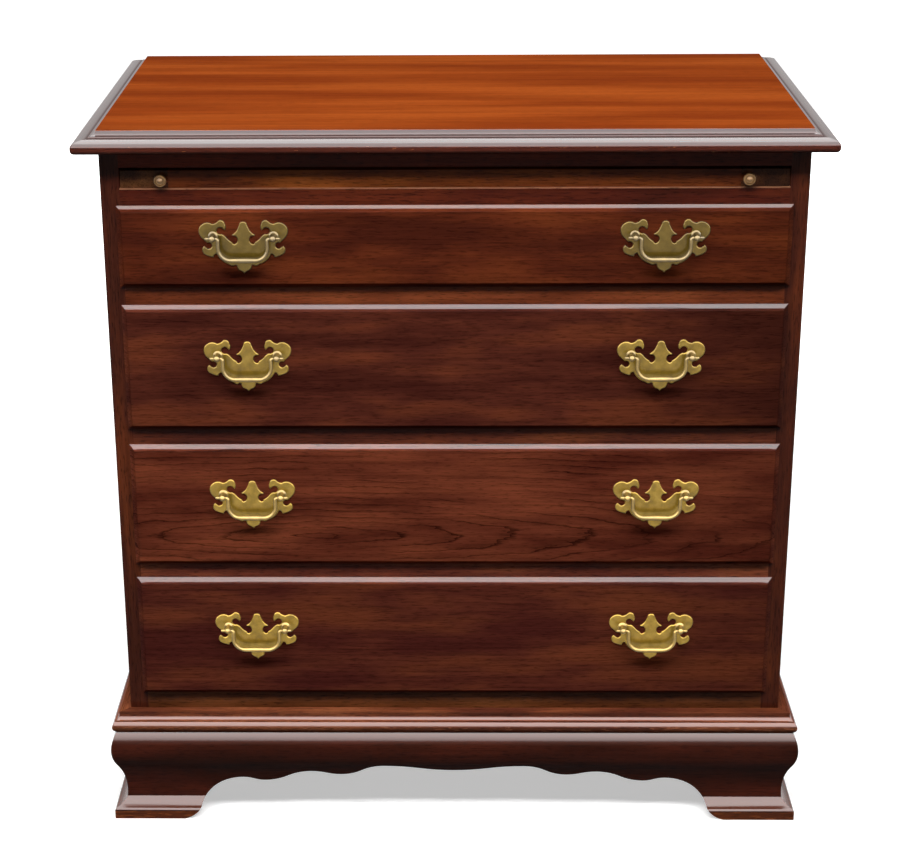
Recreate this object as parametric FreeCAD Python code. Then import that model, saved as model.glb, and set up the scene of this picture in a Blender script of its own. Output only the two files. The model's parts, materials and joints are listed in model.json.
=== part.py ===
"""Bachelor chest with four lipped drawers, a pull-out slide and an ogee bracket base.

Sizes are in millimetres. X runs across the chest, Y from front to back, Z up from the floor.
The solids are drawn with Y = 0 at the front of the case. They are moved at the end, so that
the origin lies on the floor at the middle of the box around the chest.
"""
import FreeCAD
import Part
import math
import os

V = FreeCAD.Vector

# Case
CASE_WIDTH = 737.0
CASE_DEPTH = 425.0
SIDE_THICKNESS = 20.0
BACK_THICKNESS = 6.0
BACK_LAP = 8.0
DADO_DEPTH = 6.0
DADO_STOP = 12.0

# Top board
TOP_THICKNESS = 21.0
TOP_OVERHANG = 25.0
TOP_BACK_OVERHANG = 7.0
TOP_EDGE_WIDTH = 23.5
TOP_EDGE_DROP = 3.0
TOP_DROP_SLOPE = 0.8
TOP_COVE_WIDTH = 5.7
TOP_COVE_FALL = 2.2
TOP_FILLET = 1.0
TOP_FILLET_SLOPE = 0.7
TOP_THUMB_FALL = 3.0
TOP_NOSE_WIDTH = 3.0
TOP_NOSE_FALL = 4.3
TOP_UNDER_RADIUS = 5.0

# Heights, from the floor up
FOOT_HEIGHT = 109.2
BASE_FRAME_HEIGHT = 23.8
BOTTOM_RAIL_SHOW = 20.5
LARGE_LIP_HEIGHT = 142.0
LIP_GROWTH = 1.5
SMALL_LIP_HEIGHT = 88.8
LIP_GAP = 18.0
SLIDE_RAIL_SHOW = 17.8
SLIDE_THICKNESS = 18.5
SLIDE_HEADROOM = 3.5
TOP_RAIL_HEIGHT = 18.6

# Web frames between the sides
RAIL_DEPTH = 60.0
BACK_RAIL_DEPTH = 45.0
RUNNER_WIDTH = 40.0
TENON_LENGTH = 10.0
TENON_THICKNESS = 7.0

# Drawers
LIP_DEPTH = 8.0
LIP_LAP = 4.5
LIP_TOP_LAP = 4.0
LIP_EDGE = 1.6
LIP_COVE = 5.2
LIP_HOLLOW = 0.65
LIP_ARRIS = 0.8
FRONT_INSIDE = 12.0
FRONT_CLEARANCE = 1.0
FRONT_HEADROOM = 2.5
BOX_CLEARANCE = 1.2
BOX_HEADROOM = 6.0
BOX_BACK_GAP = 21.0
BOX_SIDE = 11.0
BOX_BACK = 11.0
BOX_BACK_INSET = 9.0
BOX_BACK_DADO = 4.0
BOTTOM_THICKNESS = 5.0
BOTTOM_GROOVE = 5.0
BOTTOM_RAISE = 9.0
TAIL_LENGTH = 9.0
TAIL_PITCH = 31.0
TAIL_WIDTH = 19.0
TAIL_SLOPE = 1.0 / 6.0
RUNNING_GAP = 0.3

# Slide
SLIDE_CLEARANCE = 1.0
SLIDE_RECESS = 1.5
SLIDE_BACK_GAP = 22.5
SLIDE_END_WIDTH = 50.0
SLIDE_TONGUE = 10.0
SLIDE_TONGUE_THICKNESS = 6.5
STOP_RADIUS = 6.0
STOP_HEIGHT = 2.8
STOP_INSET = 25.0
KNOB_INSET = 63.5
KNOB_RADIUS = 6.65
KNOB_LENGTH = 9.2
KNOB_STEM_RADIUS = 2.0
KNOB_STEM_LENGTH = 12.0

# Pulls
PULL_INSET = 148.5
PULL_BORING = 63.5
SMALL_PULL_RISE = 1.8
LARGE_PULL_RISE = 3.7
PLATE_CENTRE_DROP = 11.9
PLATE_THICKNESS = 1.6
POST_REACH = 11.0
POST_FLANGE_RADIUS = 5.0
POST_FLANGE_EDGE = 0.8
POST_NECK_RADIUS = 2.7
POST_HEAD_RADIUS = 3.7
STEM_RADIUS = 2.0
STEM_CLEARANCE = 0.2
NUT_WIDTH = 8.0
NUT_THICKNESS = 3.5
STEM_PAST_NUT = 1.5
PIN_RADIUS = 1.5
PIN_CLEARANCE = 0.1
PIN_OVERRUN = 8.0
BAIL_ARM_INSET = 6.15
BAIL_BEND = 2.6
BAIL_ARM_RADIUS = 1.85
BAIL_CORNER = 12.5
BAIL_DROP = 23.5
BAIL_GRIP_RADIUS = 2.8

# Base frame, with its moulding given as reach beyond the case
BASE_FRAME_INSIDE = 40.0
BASE_LEDGE = 12.0
BASE_LEDGE_EDGE = 4.2
BASE_COVE_REACH = 17.0
BASE_COVE_FALL = 4.8
BASE_QUIRK = 1.0
BASE_TORUS_REACH = 20.0
BASE_TORUS_FOOT = 1.7
BASE_TORUS_UNDERCUT = 1.5

# Ogee bracket base: reach beyond the case, and levels as shares of the height of the feet
OGEE_INSIDE = 8.0
OGEE_TOP = 16.0
OGEE_BELLY = 22.3
OGEE_BELLY_LEVEL = 0.8
OGEE_NECK = 8.0
OGEE_NECK_LEVEL = 0.293
CREASE_LEVEL = 0.206
PAD_REACH = 22.0
PAD_EDGE_LEVEL = 0.0916
PAD_BEAD = 3.6

# Scalloped lower edge: the foot arch, then swells and dips. Each is a share of the way from
# the crest of the arch to the middle of the apron, and a share of the height of the feet.
FOOT_LENGTH = 58.5
FOOT_TOE_LENGTH = 19.4
FOOT_TOE_LEVEL = 0.129
ARCH_CREST = 126.5
ARCH_LEVEL = 0.4396
FRONT_SCALLOPS = ((0.897, 0.4), (0.674, 0.525), (0.533, 0.48), (0.331, 0.61), (0.0, 0.543))
SIDE_SCALLOPS = ((0.66, 0.4), (0.0, 0.525))
CUT_MARGIN = 5.0

# Parts inside the base
REAR_FOOT_THICKNESS = 16.0
REAR_FOOT_LENGTH = 70.0
REAR_FOOT_REACH = 112.0
BLOCK_WIDTH = 38.0
BLOCK_LIFT = 2.0

# Screws that hold the top
SCREW_RADIUS = 2.2
SCREW_HEAD_RADIUS = 4.5
SCREW_HEAD_HEIGHT = 3.0
SCREW_BITE = 12.0
SCREW_SPREAD = 250.0

# Sizes that follow from the ones above
HALF_CASE = CASE_WIDTH / 2
INNER = HALF_CASE - SIDE_THICKNESS
BASE_TOP = FOOT_HEIGHT + BASE_FRAME_HEIGHT
OGEE_BELLY_HEIGHT = OGEE_BELLY_LEVEL * FOOT_HEIGHT
OGEE_NECK_HEIGHT = OGEE_NECK_LEVEL * FOOT_HEIGHT
CREASE_HEIGHT = CREASE_LEVEL * FOOT_HEIGHT
PAD_EDGE_HEIGHT = PAD_EDGE_LEVEL * FOOT_HEIGHT
FOOT_TOE_HEIGHT = FOOT_TOE_LEVEL * FOOT_HEIGHT
ARCH_HEIGHT = ARCH_LEVEL * FOOT_HEIGHT
BACK_FACE = CASE_DEPTH - BACK_THICKNESS
BOX_DEPTH = BACK_FACE - BOX_BACK_GAP
SLIDE_DEPTH = BACK_FACE - SLIDE_BACK_GAP - SLIDE_RECESS
LIP_FACE = -(RUNNING_GAP + LIP_DEPTH)
PLATE_FACE = LIP_FACE - PLATE_THICKNESS
PIVOT_Y = PLATE_FACE - POST_REACH
BOX_HALF = INNER - BOX_CLEARANCE
LIP_HALF = INNER + LIP_LAP
SLIDE_HALF = INNER - SLIDE_CLEARANCE
SLIDE_JOINT = SLIDE_HALF - SLIDE_END_WIDTH
PULL_X = HALF_CASE - PULL_INSET
TOP_BACK = CASE_DEPTH + TOP_BACK_OVERHANG
ORIGIN_Y = (TOP_BACK - TOP_OVERHANG) / 2
DRAWER_PITCH = LARGE_LIP_HEIGHT + LIP_GAP
UPPER_LIP_HEIGHT = LARGE_LIP_HEIGHT - LIP_GROWTH
LOWEST_LIP_HEIGHT = LARGE_LIP_HEIGHT + LIP_GROWTH
LIP_HEIGHTS = (SMALL_LIP_HEIGHT, UPPER_LIP_HEIGHT, LARGE_LIP_HEIGHT, LOWEST_LIP_HEIGHT)
LARGE_PULL_LEVEL = LARGE_LIP_HEIGHT / 2 + LARGE_PULL_RISE + PLATE_CENTRE_DROP
SMALL_PULL_LEVEL = SMALL_LIP_HEIGHT / 2 + SMALL_PULL_RISE + PLATE_CENTRE_DROP
PULL_LEVELS = (SMALL_PULL_LEVEL, LARGE_PULL_LEVEL, LARGE_PULL_LEVEL, LARGE_PULL_LEVEL)


class Outline:
    """Closed flat outline of lines and arcs, drawn in a plane that maps two sizes to a point."""

    def __init__(self, plane, a, b):
        self.plane = plane
        self.start = (a, b)
        self.at = (a, b)
        self.edges = []

    def line(self, a, b):
        """Straight edge to a point."""
        self.edges.append(Part.makeLine(self.plane(*self.at), self.plane(a, b)))
        self.at = (a, b)
        return self

    def arc(self, mid_a, mid_b, a, b):
        """Arc through a middle point to an end point."""
        curve = Part.Arc(self.plane(*self.at), self.plane(mid_a, mid_b), self.plane(a, b))
        self.edges.append(curve.toShape())
        self.at = (a, b)
        return self

    def cyma(self, a, b):
        """S-curve of two equal arcs that is level at both ends."""
        start_a, start_b = self.at
        da = a - start_a
        db = b - start_b
        radius = (da * da + db * db) / (4 * abs(db))
        half_turn = math.atan2(abs(db), abs(da))
        step_a = math.copysign(radius * math.sin(half_turn), da)
        step_b = math.copysign(radius * (1 - math.cos(half_turn)), db)
        middle = (start_a + da / 2, start_b + db / 2)
        self.arc(start_a + step_a, start_b + step_b, *middle)
        self.arc(a - step_a, b - step_b, a, b)
        return self

    def face(self):
        """The filled outline."""
        if self.at != self.start:
            self.line(*self.start)
        return Part.Face(Part.Wire(self.edges))


def box(x0, x1, y0, y1, z0, z1):
    """Board between two opposite corners."""
    return Part.makeBox(x1 - x0, y1 - y0, z1 - z0, V(x0, y0, z0))


def mirrored(shape):
    """The same piece on the other side of the chest."""
    return shape.mirror(V(0, 0, 0), V(1, 0, 0))


def fused(shapes):
    """One clean solid from touching shapes."""
    result = shapes[0]
    for shape in shapes[1:]:
        result = result.fuse(shape)
    return result.removeSplitter()


def cut_all(shape, tools):
    """A shape with every tool taken out of it."""
    for tool in tools:
        shape = shape.cut(tool)
    return shape


def plan_prism(points, z0, z1):
    """Upright prism over a plan outline."""
    corners = [V(x, y, z0) for x, y in points]
    return Part.Face(Part.makePolygon(corners + corners[:1])).extrude(V(0, 0, z1 - z0))


def turned(profile, x, y, z):
    """Solid turned about a front-to-back axis from a face drawn beside that axis."""
    return profile.revolve(V(x, y, z), V(0, 1, 0), 360)


def lip_levels():
    """Lower and upper edge of each drawer lip, top drawer first, at an even pitch."""
    levels = []
    z = BASE_TOP + BOTTOM_RAIL_SHOW
    for height in reversed(LIP_HEIGHTS):
        levels.insert(0, (z, z + height))
        z += DRAWER_PITCH
    return levels


LIPS = lip_levels()


def frame_levels():
    """Lower and upper face of each web frame: top frame, slide frame, one under each drawer."""
    slide_floor = LIPS[0][1] + SLIDE_RAIL_SHOW
    slide_ceiling = slide_floor + RUNNING_GAP + SLIDE_THICKNESS + SLIDE_HEADROOM
    frames = [(slide_ceiling, slide_ceiling + TOP_RAIL_HEIGHT)]
    frames.append((LIPS[0][1] - LIP_TOP_LAP, slide_floor))
    for number, (lower, upper) in enumerate(LIPS):
        last = number + 1 == len(LIPS)
        floor = BASE_TOP if last else LIPS[number + 1][1] - LIP_TOP_LAP
        frames.append((floor, lower - FRONT_CLEARANCE))
    return frames


FRAMES = frame_levels()
CASE_TOP = FRAMES[0][1]
TOP_FACE = CASE_TOP + TOP_THICKNESS
SLIDE_FLOOR = FRAMES[1][1] + RUNNING_GAP
BACK_RAIL_FRONT = BACK_FACE - BACK_RAIL_DEPTH


def top_edge_section(plane, first, last):
    """Section through the top board from one moulded edge to the other."""
    under = CASE_TOP + TOP_UNDER_RADIUS
    drop = TOP_FACE - TOP_EDGE_DROP
    cove_in = TOP_EDGE_WIDTH - TOP_DROP_SLOPE
    cove_out = cove_in - TOP_COVE_WIDTH
    cove_foot = drop - TOP_COVE_FALL
    cove_mid = cove_in - 0.4 * TOP_COVE_WIDTH
    cove_rise = cove_foot + 0.4 * TOP_COVE_FALL
    thumb_in = cove_out - TOP_FILLET_SLOPE
    thumb_top = cove_foot - TOP_FILLET
    nose_top = thumb_top - TOP_THUMB_FALL
    nose = nose_top - TOP_NOSE_FALL
    bend = TOP_UNDER_RADIUS * (1 - math.sqrt(0.5))
    thumb_mid = (thumb_in + TOP_NOSE_WIDTH) / 2
    thumb_rise = nose_top + 0.72 * TOP_THUMB_FALL

    section = Outline(plane, first + TOP_UNDER_RADIUS, CASE_TOP)
    section.line(last - TOP_UNDER_RADIUS, CASE_TOP)
    section.arc(last - bend, CASE_TOP + bend, last, under)
    section.line(last, nose)
    section.arc(last - 0.25 * TOP_NOSE_WIDTH, nose + 0.62 * TOP_NOSE_FALL, last - TOP_NOSE_WIDTH, nose_top)
    section.arc(last - thumb_mid, thumb_rise, last - thumb_in, thumb_top)
    section.line(last - cove_out, cove_foot)
    section.arc(last - cove_mid, cove_rise, last - cove_in, drop)
    section.line(last - TOP_EDGE_WIDTH, TOP_FACE)
    section.line(first + TOP_EDGE_WIDTH, TOP_FACE)
    section.line(first + cove_in, drop)
    section.arc(first + cove_mid, cove_rise, first + cove_out, cove_foot)
    section.line(first + thumb_in, thumb_top)
    section.arc(first + thumb_mid, thumb_rise, first + TOP_NOSE_WIDTH, nose_top)
    section.arc(first + 0.25 * TOP_NOSE_WIDTH, nose + 0.62 * TOP_NOSE_FALL, first, nose)
    section.line(first, under)
    section.arc(first + bend, CASE_TOP + bend, first + TOP_UNDER_RADIUS, CASE_TOP)
    return section.face()


def screw_places():
    """Where the screws pass through the front and back rails of the top frame."""
    rows = (RAIL_DEPTH / 2, BACK_RAIL_FRONT + BACK_RAIL_DEPTH / 2)
    return [(x, y) for y in rows for x in (-SCREW_SPREAD, 0.0, SCREW_SPREAD)]


def screw(x, y):
    """Screw with a flat head let into the underside of the top frame."""
    floor = FRAMES[0][0]
    head = Part.makeCylinder(SCREW_HEAD_RADIUS, SCREW_HEAD_HEIGHT, V(x, y, floor))
    shank = Part.makeCylinder(SCREW_RADIUS, TOP_RAIL_HEIGHT + SCREW_BITE, V(x, y, floor))
    return fused([head, shank])


def top_board():
    """Top with the same moulding worked on all four edges, mitred by the crossing sections."""
    half = HALF_CASE + TOP_OVERHANG
    across = top_edge_section(lambda s, z: V(s, -TOP_OVERHANG, z), -half, half)
    across = across.extrude(V(0, TOP_BACK + TOP_OVERHANG, 0))
    along = top_edge_section(lambda s, z: V(-half, s, z), -TOP_OVERHANG, TOP_BACK)
    along = along.extrude(V(2 * half, 0, 0))
    return cut_all(across.common(along), [screw(x, y) for x, y in screw_places()])


def right_side():
    """Case side with stopped dados for the web frames and a rabbet for the back."""
    board = box(INNER, HALF_CASE, 0, CASE_DEPTH, BASE_TOP, CASE_TOP)
    dados = [box(INNER, INNER + DADO_DEPTH, DADO_STOP, BACK_FACE, z0, z1) for z0, z1 in FRAMES]
    rabbet = box(INNER, INNER + BACK_LAP, BACK_FACE, CASE_DEPTH, BASE_TOP, CASE_TOP)
    return cut_all(board, dados + [rabbet])


def back_panel():
    """Thin back in the rabbets of the sides."""
    return box(-INNER - BACK_LAP, INNER + BACK_LAP, BACK_FACE, CASE_DEPTH, BASE_TOP, CASE_TOP)


def runner_tenons(level):
    """Stub tenons at both ends of the right runner of a frame."""
    middle = (level[0] + level[1]) / 2
    z0 = middle - TENON_THICKNESS / 2
    z1 = middle + TENON_THICKNESS / 2
    x0 = INNER - RUNNER_WIDTH
    front = box(x0, INNER, RAIL_DEPTH - TENON_LENGTH, RAIL_DEPTH, z0, z1)
    back = box(x0, INNER, BACK_RAIL_FRONT, BACK_RAIL_FRONT + TENON_LENGTH, z0, z1)
    return [front, back]


def side_runners():
    """The pairs of runners that join front and back rails along the sides."""
    pieces = []
    for z0, z1 in FRAMES:
        board = box(INNER - RUNNER_WIDTH, INNER + DADO_DEPTH, RAIL_DEPTH, BACK_RAIL_FRONT, z0, z1)
        runner = fused([board] + runner_tenons((z0, z1)))
        pieces += [runner, mirrored(runner)]
    return pieces


def frame_mortises(level):
    """What the runners, and in the top frame the screws, take out of the rails of a frame."""
    tenons = runner_tenons(level)
    tools = tenons + [mirrored(tenon) for tenon in tenons]
    if level == FRAMES[0]:
        tools += [screw(x, y) for x, y in screw_places()]
    return tools


def front_rail(level):
    """Rail that shows between drawers, with tongues set back behind the stiles."""
    z0, z1 = level
    face = box(-INNER, INNER, 0, RAIL_DEPTH, z0, z1)
    tongue = box(-INNER - DADO_DEPTH, INNER + DADO_DEPTH, DADO_STOP, RAIL_DEPTH, z0, z1)
    return cut_all(fused([face, tongue]), frame_mortises(level))


def back_rail(level):
    """Rail at the back of a frame."""
    z0, z1 = level
    board = box(-INNER - DADO_DEPTH, INNER + DADO_DEPTH, BACK_RAIL_FRONT, BACK_FACE, z0, z1)
    return cut_all(board, frame_mortises(level))


def slide_levels():
    """Lower and upper face of the slide and of the tongue in its middle."""
    middle = SLIDE_FLOOR + SLIDE_THICKNESS / 2
    tongue = SLIDE_TONGUE_THICKNESS / 2
    return SLIDE_FLOOR, SLIDE_FLOOR + SLIDE_THICKNESS, middle - tongue, middle + tongue


def slide_tongue():
    """Tongue of the slide panel, from end to end."""
    z0, z1 = slide_levels()[2:]
    reach = SLIDE_JOINT + SLIDE_TONGUE
    return box(-reach, reach, SLIDE_RECESS, SLIDE_RECESS + SLIDE_DEPTH, z0, z1)


def knob_stem_hole():
    """Hole for the stem of the right knob."""
    middle = SLIDE_FLOOR + SLIDE_THICKNESS / 2
    place = V(HALF_CASE - KNOB_INSET, SLIDE_RECESS, middle)
    return Part.makeCylinder(KNOB_STEM_RADIUS, KNOB_STEM_LENGTH, place, V(0, 1, 0))


def slide_panel():
    """Centre panel of the slide."""
    z0, z1 = slide_levels()[:2]
    board = box(-SLIDE_JOINT, SLIDE_JOINT, SLIDE_RECESS, SLIDE_RECESS + SLIDE_DEPTH, z0, z1)
    hole = knob_stem_hole()
    return cut_all(fused([board, slide_tongue()]), [hole, mirrored(hole)])


def slide_end():
    """Batten across the right end of the slide, its end grain to the front."""
    z0, z1 = slide_levels()[:2]
    board = box(SLIDE_JOINT, SLIDE_HALF, SLIDE_RECESS, SLIDE_RECESS + SLIDE_DEPTH, z0, z1)
    return cut_all(board, [slide_tongue(), knob_stem_hole()])


def slide_stops():
    """Two pegs on the back of the slide that meet the top rail before the slide can drop out."""
    top = SLIDE_FLOOR + SLIDE_THICKNESS
    y = SLIDE_RECESS + SLIDE_DEPTH - STOP_INSET
    peg = Part.makeCylinder(STOP_RADIUS, STOP_HEIGHT, V(SLIDE_JOINT / 2, y, top))
    return [peg, mirrored(peg)]


def slide_knob():
    """Turned knob with a rim ring and a centre button, on a stem in the slide."""
    x = HALF_CASE - KNOB_INSET
    z = SLIDE_FLOOR + SLIDE_THICKNESS / 2
    rim = 0.72 * KNOB_LENGTH
    face = 0.9 * KNOB_LENGTH
    profile = Outline(lambda r, d: V(x + r, SLIDE_RECESS - d, z), 0, -KNOB_STEM_LENGTH)
    profile.line(KNOB_STEM_RADIUS, -KNOB_STEM_LENGTH).line(KNOB_STEM_RADIUS, 0)
    profile.line(0.7 * KNOB_RADIUS, 0).line(0.7 * KNOB_RADIUS, 0.1 * KNOB_LENGTH)
    profile.arc(0.45 * KNOB_RADIUS, 0.27 * KNOB_LENGTH, 0.88 * KNOB_RADIUS, 0.57 * KNOB_LENGTH)
    profile.arc(KNOB_RADIUS, rim, 0.9 * KNOB_RADIUS, face)
    profile.line(0.74 * KNOB_RADIUS, face).line(0.66 * KNOB_RADIUS, 0.8 * KNOB_LENGTH)
    profile.line(0.48 * KNOB_RADIUS, 0.8 * KNOB_LENGTH).line(0.44 * KNOB_RADIUS, face)
    button = 0.44 * KNOB_RADIUS
    dome = KNOB_LENGTH - face
    ball = (button * button + dome * dome) / (2 * dome)
    turn = math.asin(button / ball) / 2
    profile.arc(ball * math.sin(turn), KNOB_LENGTH - ball * (1 - math.cos(turn)), 0, KNOB_LENGTH)
    return turned(profile.face(), x, SLIDE_RECESS, z)


class Drawer:
    """Sizes and pieces of one drawer, counted from the top."""

    def __init__(self, number):
        self.lower, self.upper = LIPS[number]
        self.floor = FRAMES[number + 2][1]
        self.ceiling = FRAMES[number + 1][0]
        self.side_low = self.floor + RUNNING_GAP
        self.side_high = self.ceiling - BOX_HEADROOM
        self.axis = self.lower + PULL_LEVELS[number]

    def lip_section(self, plane, low, high):
        """Section through the lip: along both edges a hollow bevel, then the eased arris of the field."""
        back = -RUNNING_GAP
        edge = back - LIP_EDGE
        inner = edge - LIP_COVE
        bend = LIP_COVE / 2 + LIP_HOLLOW * math.sqrt(0.5)
        arris = LIP_FACE + LIP_ARRIS
        field = LIP_COVE + LIP_ARRIS
        ease = LIP_ARRIS * (1 - math.sqrt(0.5))
        turn = LIP_COVE + ease
        section = Outline(plane, low, back)
        section.line(low, edge).arc(low + bend, inner + bend, low + LIP_COVE, inner)
        section.line(low + LIP_COVE, arris).arc(low + turn, LIP_FACE + ease, low + field, LIP_FACE)
        section.line(high - field, LIP_FACE)
        section.arc(high - turn, LIP_FACE + ease, high - LIP_COVE, arris)
        section.line(high - LIP_COVE, inner).arc(high - bend, inner + bend, high, edge)
        section.line(high, back)
        return section.face()

    def lip(self):
        """The part of the front that stands proud of the case, with mitred edges."""
        level = self.lip_section(lambda s, y: V(-LIP_HALF, y, s), self.lower, self.upper)
        upright = self.lip_section(lambda s, y: V(s, y, self.lower), -LIP_HALF, LIP_HALF)
        level = level.extrude(V(2 * LIP_HALF, 0, 0))
        return level.common(upright.extrude(V(0, 0, self.upper - self.lower)))

    def bottom(self):
        """Thin bottom in grooves of the sides and front, passing under the back."""
        reach = BOX_HALF - BOX_SIDE + BOTTOM_GROOVE
        z = self.side_low + BOTTOM_RAISE
        return box(-reach, reach, FRONT_INSIDE - BOTTOM_GROOVE, BOX_DEPTH, z, z + BOTTOM_THICKNESS)

    def back(self):
        """Back between the sides, in shallow dados."""
        reach = BOX_HALF - BOX_SIDE + BOX_BACK_DADO
        end = BOX_DEPTH - BOX_BACK_INSET
        low = self.side_low + BOTTOM_RAISE + BOTTOM_THICKNESS
        return box(-reach, reach, end - BOX_BACK, end, low, self.side_high)

    def tails(self):
        """Dovetails at the front end of the right side, as many as the height takes."""
        count = int((self.side_high - self.side_low) // TAIL_PITCH)
        pitch = (self.side_high - self.side_low) / count
        wide = TAIL_WIDTH / 2
        narrow = wide - TAIL_LENGTH * TAIL_SLOPE
        tip = FRONT_INSIDE - TAIL_LENGTH
        pieces = []
        for step in range(count):
            z = self.side_low + (step + 0.5) * pitch
            tail = Outline(lambda y, s: V(BOX_HALF - BOX_SIDE, y, s), FRONT_INSIDE, z - narrow)
            tail.line(tip, z - wide).line(tip, z + wide).line(FRONT_INSIDE, z + narrow)
            pieces.append(tail.face().extrude(V(BOX_SIDE, 0, 0)))
        return pieces

    def right_side(self):
        """Drawer side with its tails, grooved for the bottom and housed for the back."""
        board = box(BOX_HALF - BOX_SIDE, BOX_HALF, FRONT_INSIDE, BOX_DEPTH, self.side_low, self.side_high)
        return cut_all(fused([board] + self.tails()), [self.bottom(), self.back()])

    def front(self):
        """Lipped front with sockets for the tails, a groove for the bottom and borings for the pulls."""
        high = self.ceiling - FRONT_HEADROOM
        inside = box(-BOX_HALF, BOX_HALF, -RUNNING_GAP, FRONT_INSIDE, self.lower, high)
        board = fused([self.lip(), inside])
        sockets = self.tails()
        sockets += [mirrored(tail) for tail in sockets]
        return cut_all(board, sockets + [self.bottom()] + self.borings())

    def post_places(self):
        """Middle of each of the four posts across the drawer."""
        half = PULL_BORING / 2
        return [x + side for x in (-PULL_X, PULL_X) for side in (-half, half)]

    def borings(self):
        """Holes for the post stems through the front and the plates."""
        length = FRONT_INSIDE - PLATE_FACE
        radius = STEM_RADIUS + STEM_CLEARANCE
        return [Part.makeCylinder(radius, length, V(x, PLATE_FACE, self.axis), V(0, 1, 0))
                for x in self.post_places()]

    def plates(self):
        """The two cut-out back plates."""
        pieces = []
        for x in (-PULL_X, PULL_X):
            plate = pull_plate()
            plate.translate(V(x, LIP_FACE, self.axis))
            pieces.append(cut_all(plate, self.borings()))
        return pieces

    def posts(self):
        """The four posts with their stems, and the nuts behind the front."""
        pieces = []
        for x in self.post_places():
            for piece in (pull_post(), stem_nut()):
                piece.translate(V(x, PLATE_FACE, self.axis))
                pieces.append(piece)
        return pieces

    def bail(self, x):
        """One swinging bail, hanging from its posts."""
        piece = pull_bail()
        piece.translate(V(x, PIVOT_Y, self.axis))
        return piece


def pull_plate():
    """Back plate cut to a bat-wing outline, drawn from the finial down the left half.

    The outline is set out in shares of half the boring, from the middle of the two posts.
    """
    unit = PULL_BORING / 2
    half = Outline(lambda a, b: V(a * unit, 0, b * unit), 0, 0.485)
    half.arc(-0.085, 0.46, -0.117, 0.397)
    half.arc(-0.202, 0.227, -0.384, 0.038)
    half.line(-0.375, 0.003).line(-0.261, -0.013)
    half.arc(-0.198, -0.145, -0.271, -0.265)
    half.arc(-0.337, -0.271, -0.372, -0.211)
    half.arc(-0.479, -0.142, -0.573, -0.044)
    half.arc(-0.636, 0.019, -0.715, 0.066)
    half.arc(-0.876, 0.17, -0.699, 0.268)
    half.line(-0.617, 0.183)
    half.arc(-0.567, 0.302, -0.595, 0.397)
    half.arc(-0.68, 0.526, -0.806, 0.523)
    half.arc(-0.907, 0.441, -1.017, 0.409)
    half.arc(-1.172, 0.46, -1.329, 0.409)
    half.arc(-1.449, 0.277, -1.474, 0.154)
    half.arc(-1.43, 0.003, -1.329, -0.113)
    half.line(-1.203, -0.236)
    half.arc(-1.049, -0.328, -1.213, -0.413)
    half.line(-1.298, -0.34)
    half.arc(-1.376, -0.498, -1.291, -0.636)
    half.arc(-1.146, -0.699, -1.008, -0.731)
    half.arc(-0.973, -0.649, -0.894, -0.617)
    half.arc(-0.731, -0.844, -0.485, -0.973)
    half.arc(-0.391, -1.024, -0.302, -0.986)
    half.line(-0.243, -1.008)
    half.arc(-0.22, -1.112, -0.126, -1.194)
    half.arc(-0.054, -1.228, 0, -1.291)
    plate = half.face().extrude(V(0, -PLATE_THICKNESS, 0))
    return fused([plate, mirrored(plate)])


def pull_post():
    """Turned post with a flange on the plate, a ball end bored for the bail, and a stem."""
    stem = LIP_DEPTH + RUNNING_GAP + PLATE_THICKNESS + FRONT_INSIDE + NUT_THICKNESS + STEM_PAST_NUT
    neck = POST_REACH - math.sqrt(POST_HEAD_RADIUS ** 2 - POST_NECK_RADIUS ** 2)
    profile = Outline(lambda r, d: V(r, -d, 0), 0, -stem)
    profile.line(STEM_RADIUS, -stem).line(STEM_RADIUS, 0)
    profile.line(POST_FLANGE_RADIUS, 0).line(POST_FLANGE_RADIUS, POST_FLANGE_EDGE)
    profile.arc(1.3 * POST_NECK_RADIUS, 0.2 * POST_REACH, POST_NECK_RADIUS, 0.5 * POST_REACH)
    profile.line(POST_NECK_RADIUS, neck)
    profile.arc(POST_HEAD_RADIUS, POST_REACH, 0, POST_REACH + POST_HEAD_RADIUS)
    post = turned(profile.face(), 0, 0, 0)
    radius = PIN_RADIUS + PIN_CLEARANCE
    reach = 2 * POST_HEAD_RADIUS
    return post.cut(Part.makeCylinder(radius, 2 * reach, V(-reach, -POST_REACH, 0), V(1, 0, 0)))


def stem_nut():
    """Square nut on the stem, against the inside of the drawer front."""
    y = LIP_DEPTH + RUNNING_GAP + PLATE_THICKNESS + FRONT_INSIDE
    half = NUT_WIDTH / 2
    nut = box(-half, half, y, y + NUT_THICKNESS, -half, half)
    return nut.cut(Part.makeCylinder(STEM_RADIUS, NUT_THICKNESS, V(0, y, 0), V(0, 1, 0)))


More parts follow.
